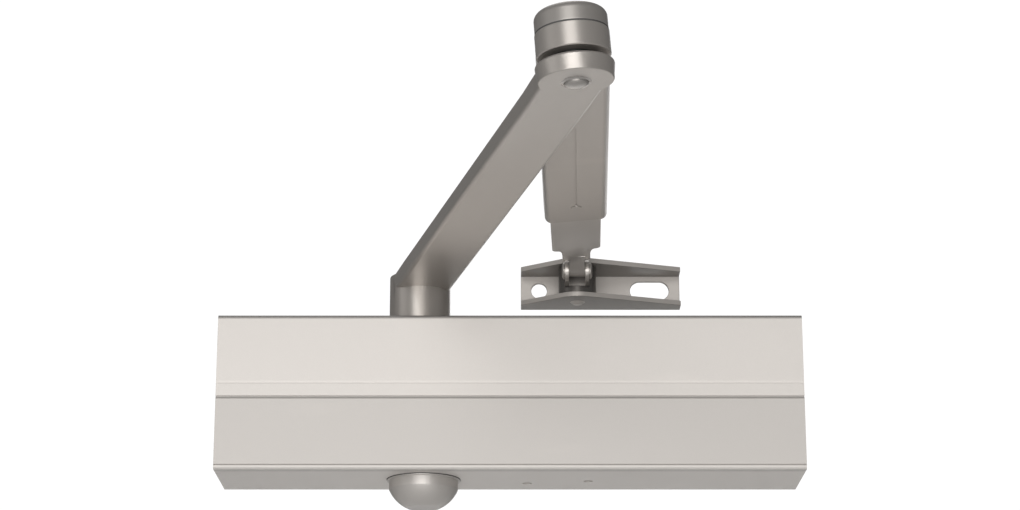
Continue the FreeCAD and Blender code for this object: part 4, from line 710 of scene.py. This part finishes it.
head_foot = min(height for height, radius in clamp_profile if radius > SHANK_LIMIT)
boss_top = max(height for height, radius in boss_profile if radius < BOSS_LIMIT)
shank_radius = max(radius for height, radius in clamp_profile if radius < SHANK_LIMIT)
sizes = {"Radius": shank_radius - THREAD_SINK, "Pitch": THREAD_PITCH, "Length": head_foot - boss_top}
sizes |= {"Ridge": THREAD_RIDGE, "Finish": finishes["plated_steel"]}
ridge = grow(thread, sizes, clamp_place @ Matrix.Translation((0, 0, boss_top)))
finish_mesh("clamp_screw_thread", ridge, "plated_steel", body_of["clamp_screw"])
print("thread:", len(ridge.polygons), "faces over", round((head_foot - boss_top) / MM, 2), "mm")

# %% [markdown]
# ## Turned pieces
# Three small forms are turned about an axis. The forearm's tube has a low pressed mark where its seam ends.
# Two dark rings with the grey rubber finish stand in for shade: one sits between the elbow's cap and its
# knuckle, and a flat one lies between the cover and the cap below the spindle. Each shows as a painted shadow
# line round its joint. One function turns an outline into a mesh: the mark has flat ends, and a ring closes
# on itself. Its normals are recalculated at the end, because turning can leave a shape inside out.


# %% An outline turned about an axis
def turned(name, outline, place, steps, is_ring):
    """A closed mesh from radii and heights in millimetres, as a ring or as a solid with flat ends."""
    shape = bmesh.new()
    angles = [2 * math.pi * step / steps for step in range(steps)]
    rings = []
    for radius, height in outline:
        corners = [Vector((radius * math.cos(angle), radius * math.sin(angle), height)) for angle in angles]
        rings.append([shape.verts.new(corner * MM) for corner in corners])
    for ring, next_ring in zip(rings, rings[1:] + rings[:1] if is_ring else rings[1:]):
        for step in range(steps):
            after = (step + 1) % steps
            shape.faces.new((ring[step], ring[after], next_ring[after], next_ring[step]))
    if not is_ring:
        shape.faces.new(list(reversed(rings[0])))
        shape.faces.new(rings[-1])
    for face in shape.faces:
        face.smooth = not is_ring
    bmesh.ops.recalc_face_normals(shape, faces=shape.faces)
    mesh = bpy.data.meshes.new(name)
    shape.to_mesh(mesh)
    shape.free()
    mesh.transform(place)
    print(name, "has", len(mesh.polygons), "faces")
    return mesh


def square_outline(inner, outer, low, high):
    """The section of a flat ring, from radii and heights in millimetres."""
    return ((inner, low), (outer, low), (outer, high), (inner, high))


# %% [markdown]
# ## The mark and the two rings of painted shadow
# The mark lies on the underside of the tube, below the clamp screw and a little towards the elbow, and stands
# less than a tenth of a millimetre proud. The elbow's shadow ring sits where the cap's skirt begins, which is
# the lowest corner of the cap near its own radius. The shadow ring under the cover follows the spindle cap's
# own width.


# %% The pressed mark and the two rings of painted shadow
MARK_RADIUS, MARK_RISE, MARK_SHIFT, MARK_TIP, MARK_STEPS = 1.9, 0.08, 1.7, 0.05, 32
RING_STEPS, CAP_SKIRT = 72, 11 * MM
SEAM_INNER, SEAM_OUTER, SEAM_BELOW, SEAM_ABOVE = 10.6, 11.5, 0.26, 0.33
DOME_SHADOW_INNER, DOME_SHADOW_LIP, DOME_SHADOW_DEEP, DOME_SHADOW_GAP = 13.42, 0.1, 0.35, 0.02

underside = min(height for height, radius in boss_profile if radius < BOSS_LIMIT) / MM
curve = [math.radians(angle) for angle in range(0, 91, 15)]
mark_outline = [(MARK_RADIUS, underside + MARK_RISE)]
mark_outline += [(MARK_RADIUS * math.cos(a) + MARK_TIP, underside - MARK_RISE * math.sin(a)) for a in curve]
elbow_middle, clamp_middle = (Vector(joint_of[name]["pos_m"]) for name in ("elbow_swing", "clamp_screw_turn"))
towards_elbow = (elbow_middle - clamp_middle).normalized()
mark_place = Matrix.Translation(towards_elbow * MARK_SHIFT * MM) @ clamp_place
mark = turned("pressed_mark", mark_outline, mark_place, MARK_STEPS, is_ring=False)
finish_mesh("pressed_mark", mark, "arm_paint", body_of["forearm_tube"])

elbow_place = joint_place("elbow_swing")
cap_foot = min(height for height, radius in profile_of("elbow_cap", elbow_place) if radius > CAP_SKIRT) / MM
# Painted shadow: a dark ring in the seam between the elbow's cap and its knuckle.
seam_outline = square_outline(SEAM_INNER, SEAM_OUTER, cap_foot - SEAM_BELOW, cap_foot + SEAM_ABOVE)
seam = turned("elbow_seam_shadow_ring", seam_outline, elbow_place, RING_STEPS, is_ring=True)
finish_mesh("elbow_seam_shadow_ring", seam, "seal_rubber", body_of["elbow_cap"])

dome_low, dome_high = (Vector(corner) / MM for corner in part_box("spindle_cap"))
dome_middle, dome_radius = (dome_low + dome_high) / 2, (dome_high.x - dome_low.x) / 2
dome_place = Matrix.Translation(Vector((dome_middle.x, dome_middle.y, 0)) * MM)
# Painted shadow: a dark flat ring between the cover and the spindle cap.
dome_shadow_outline = square_outline(
    DOME_SHADOW_INNER, dome_radius + DOME_SHADOW_LIP, -COVER_TOP - DOME_SHADOW_DEEP, -COVER_TOP - DOME_SHADOW_GAP
)
dome_shadow_ring = turned("cap_shadow_ring", dome_shadow_outline, dome_place, RING_STEPS, is_ring=True)
finish_mesh("cap_shadow_ring", dome_shadow_ring, "seal_rubber", body_of["spindle_cap"])
print("elbow cap starts at", round(cap_foot, 2), "mm, spindle cap's radius is", round(dome_radius, 2), "mm")

# %% [markdown]
# ## The ground
# The closer is shown before a plain white ground. A wide floor lies far below, because the camera looks up.
# The room itself is dim, and only the camera sees it as white, so the metal mirrors the lights and not the
# ground. The floor's paint is a pale grey with a broad, faint mottle.


# %% Floor and background
FLOOR_RADIUS, FLOOR_SIDES, FLOOR_HEIGHT = 9, 64, -1.4
ROOM_LIGHT, GROUND_WHITE = 0.18, 1.05


def floor_material():
    """Pale grey floor paint with a broad mottle."""
    material, tree, shader, place = new_material("pale_floor")
    mottle = noise(tree, place, scale=3, detail=3)
    feed(shader, Base_Color=mix_colours(tree, mottle, grey(0.82), grey(0.88)), Roughness=0.7 + mottle * 0.1)
    return material


work = bmesh.new()
bmesh.ops.create_circle(work, cap_ends=True, radius=FLOOR_RADIUS, segments=FLOOR_SIDES)
floor_mesh = bpy.data.meshes.new("floor")
work.to_mesh(floor_mesh)
work.free()
floor = bpy.data.objects.new("floor", floor_mesh)
floor.location = (0, 0, FLOOR_HEIGHT)
floor_mesh.materials.append(floor_material())
bpy.context.scene.collection.objects.link(floor)

world = bpy.data.worlds.new("pale_room")
bpy.context.scene.world = world
world.use_nodes = True
world_tree = world.node_tree
world_tree.nodes["Background"].inputs["Color"].default_value = (1, 1, 1, 1)
is_seen = add_node(world_tree, "ShaderNodeLightPath", output=0)
strength = ROOM_LIGHT + is_seen * (GROUND_WHITE - ROOM_LIGHT)
world_tree.links.new(strength.socket, world_tree.nodes["Background"].inputs["Strength"])
print("floor:", FLOOR_RADIUS, "m from its middle to its edge,", -FLOOR_HEIGHT, "m below the closer")

# %% [markdown]
# ## Seven soft lights
# Painted metal shows its shape by what it mirrors, so each light is a panel placed for one kind of face. The
# key stands in front, near the camera's height, and makes the cover's face the brightest plane. Upright
# faces mirror what stands in front a little above the horizon, so the gloss strip there draws a bright band
# down each round piece. A weak panel on the left opens the flanks on that side, and one below opens the
# undersides. Two more stand above and behind the cover's face. They light the top and the back, and no face
# in this picture mirrors them. The last one washes the floor, which every underside mirrors.


# %% Lights
BODY, FACE, ARM_ROOT = (0, 0, 0), (0, -0.1, 0.03), (0, -0.15, 0.04)
panels = {
    "key": {"place": (-0.2, -2.4, -0.3), "target": FACE, "size": (1.8, 1.2), "watts": 32},
    "gloss_strip": {"place": (-0.3, -2.4, 0.78), "target": ARM_ROOT, "size": (1.4, 0.7), "watts": 9},
    "from_left": {"place": (-2.2, -1.0, 0.1), "target": FACE, "size": (1.4, 1.4), "watts": 4},
    "from_below": {"place": (0, -1.5, -1.25), "target": FACE, "size": (1.6, 1.2), "watts": 4.5},
    "from_above": {"place": (-0.3, 0.9, 2.4), "target": (0, -0.1, 0), "size": (1.4, 1.4), "watts": 10},
    "from_behind": {"place": (0.3, 2.4, 0.6), "target": BODY, "size": (1.6, 1.2), "watts": 9},
    "floor_wash": {"place": (0, 3.2, 0.6), "target": (0, 3.2, FLOOR_HEIGHT), "size": (3.0, 3.0), "watts": 34},
}
FLOOR_WASH_SPREAD = math.radians(110)


def add_panel(name, place, target, size, watts):
    """A rectangular light that faces its target."""
    data = bpy.data.lights.new(name, "AREA")
    data.shape, data.energy = "RECTANGLE", watts
    data.size, data.size_y = size
    light = bpy.data.objects.new(name, data)
    light.location = place
    light.rotation_mode = "QUATERNION"
    light.rotation_quaternion = (Vector(target) - Vector(place)).to_track_quat("-Z", "Y")
    bpy.context.scene.collection.objects.link(light)
    return data


lights = {name: add_panel(name, **panel) for name, panel in panels.items()}
lights["floor_wash"].spread = FLOOR_WASH_SPREAD
bpy.context.scene.view_settings.view_transform = "Standard"
print("lights:", ", ".join(f"{name} {data.energy:g} W" for name, data in lights.items()))
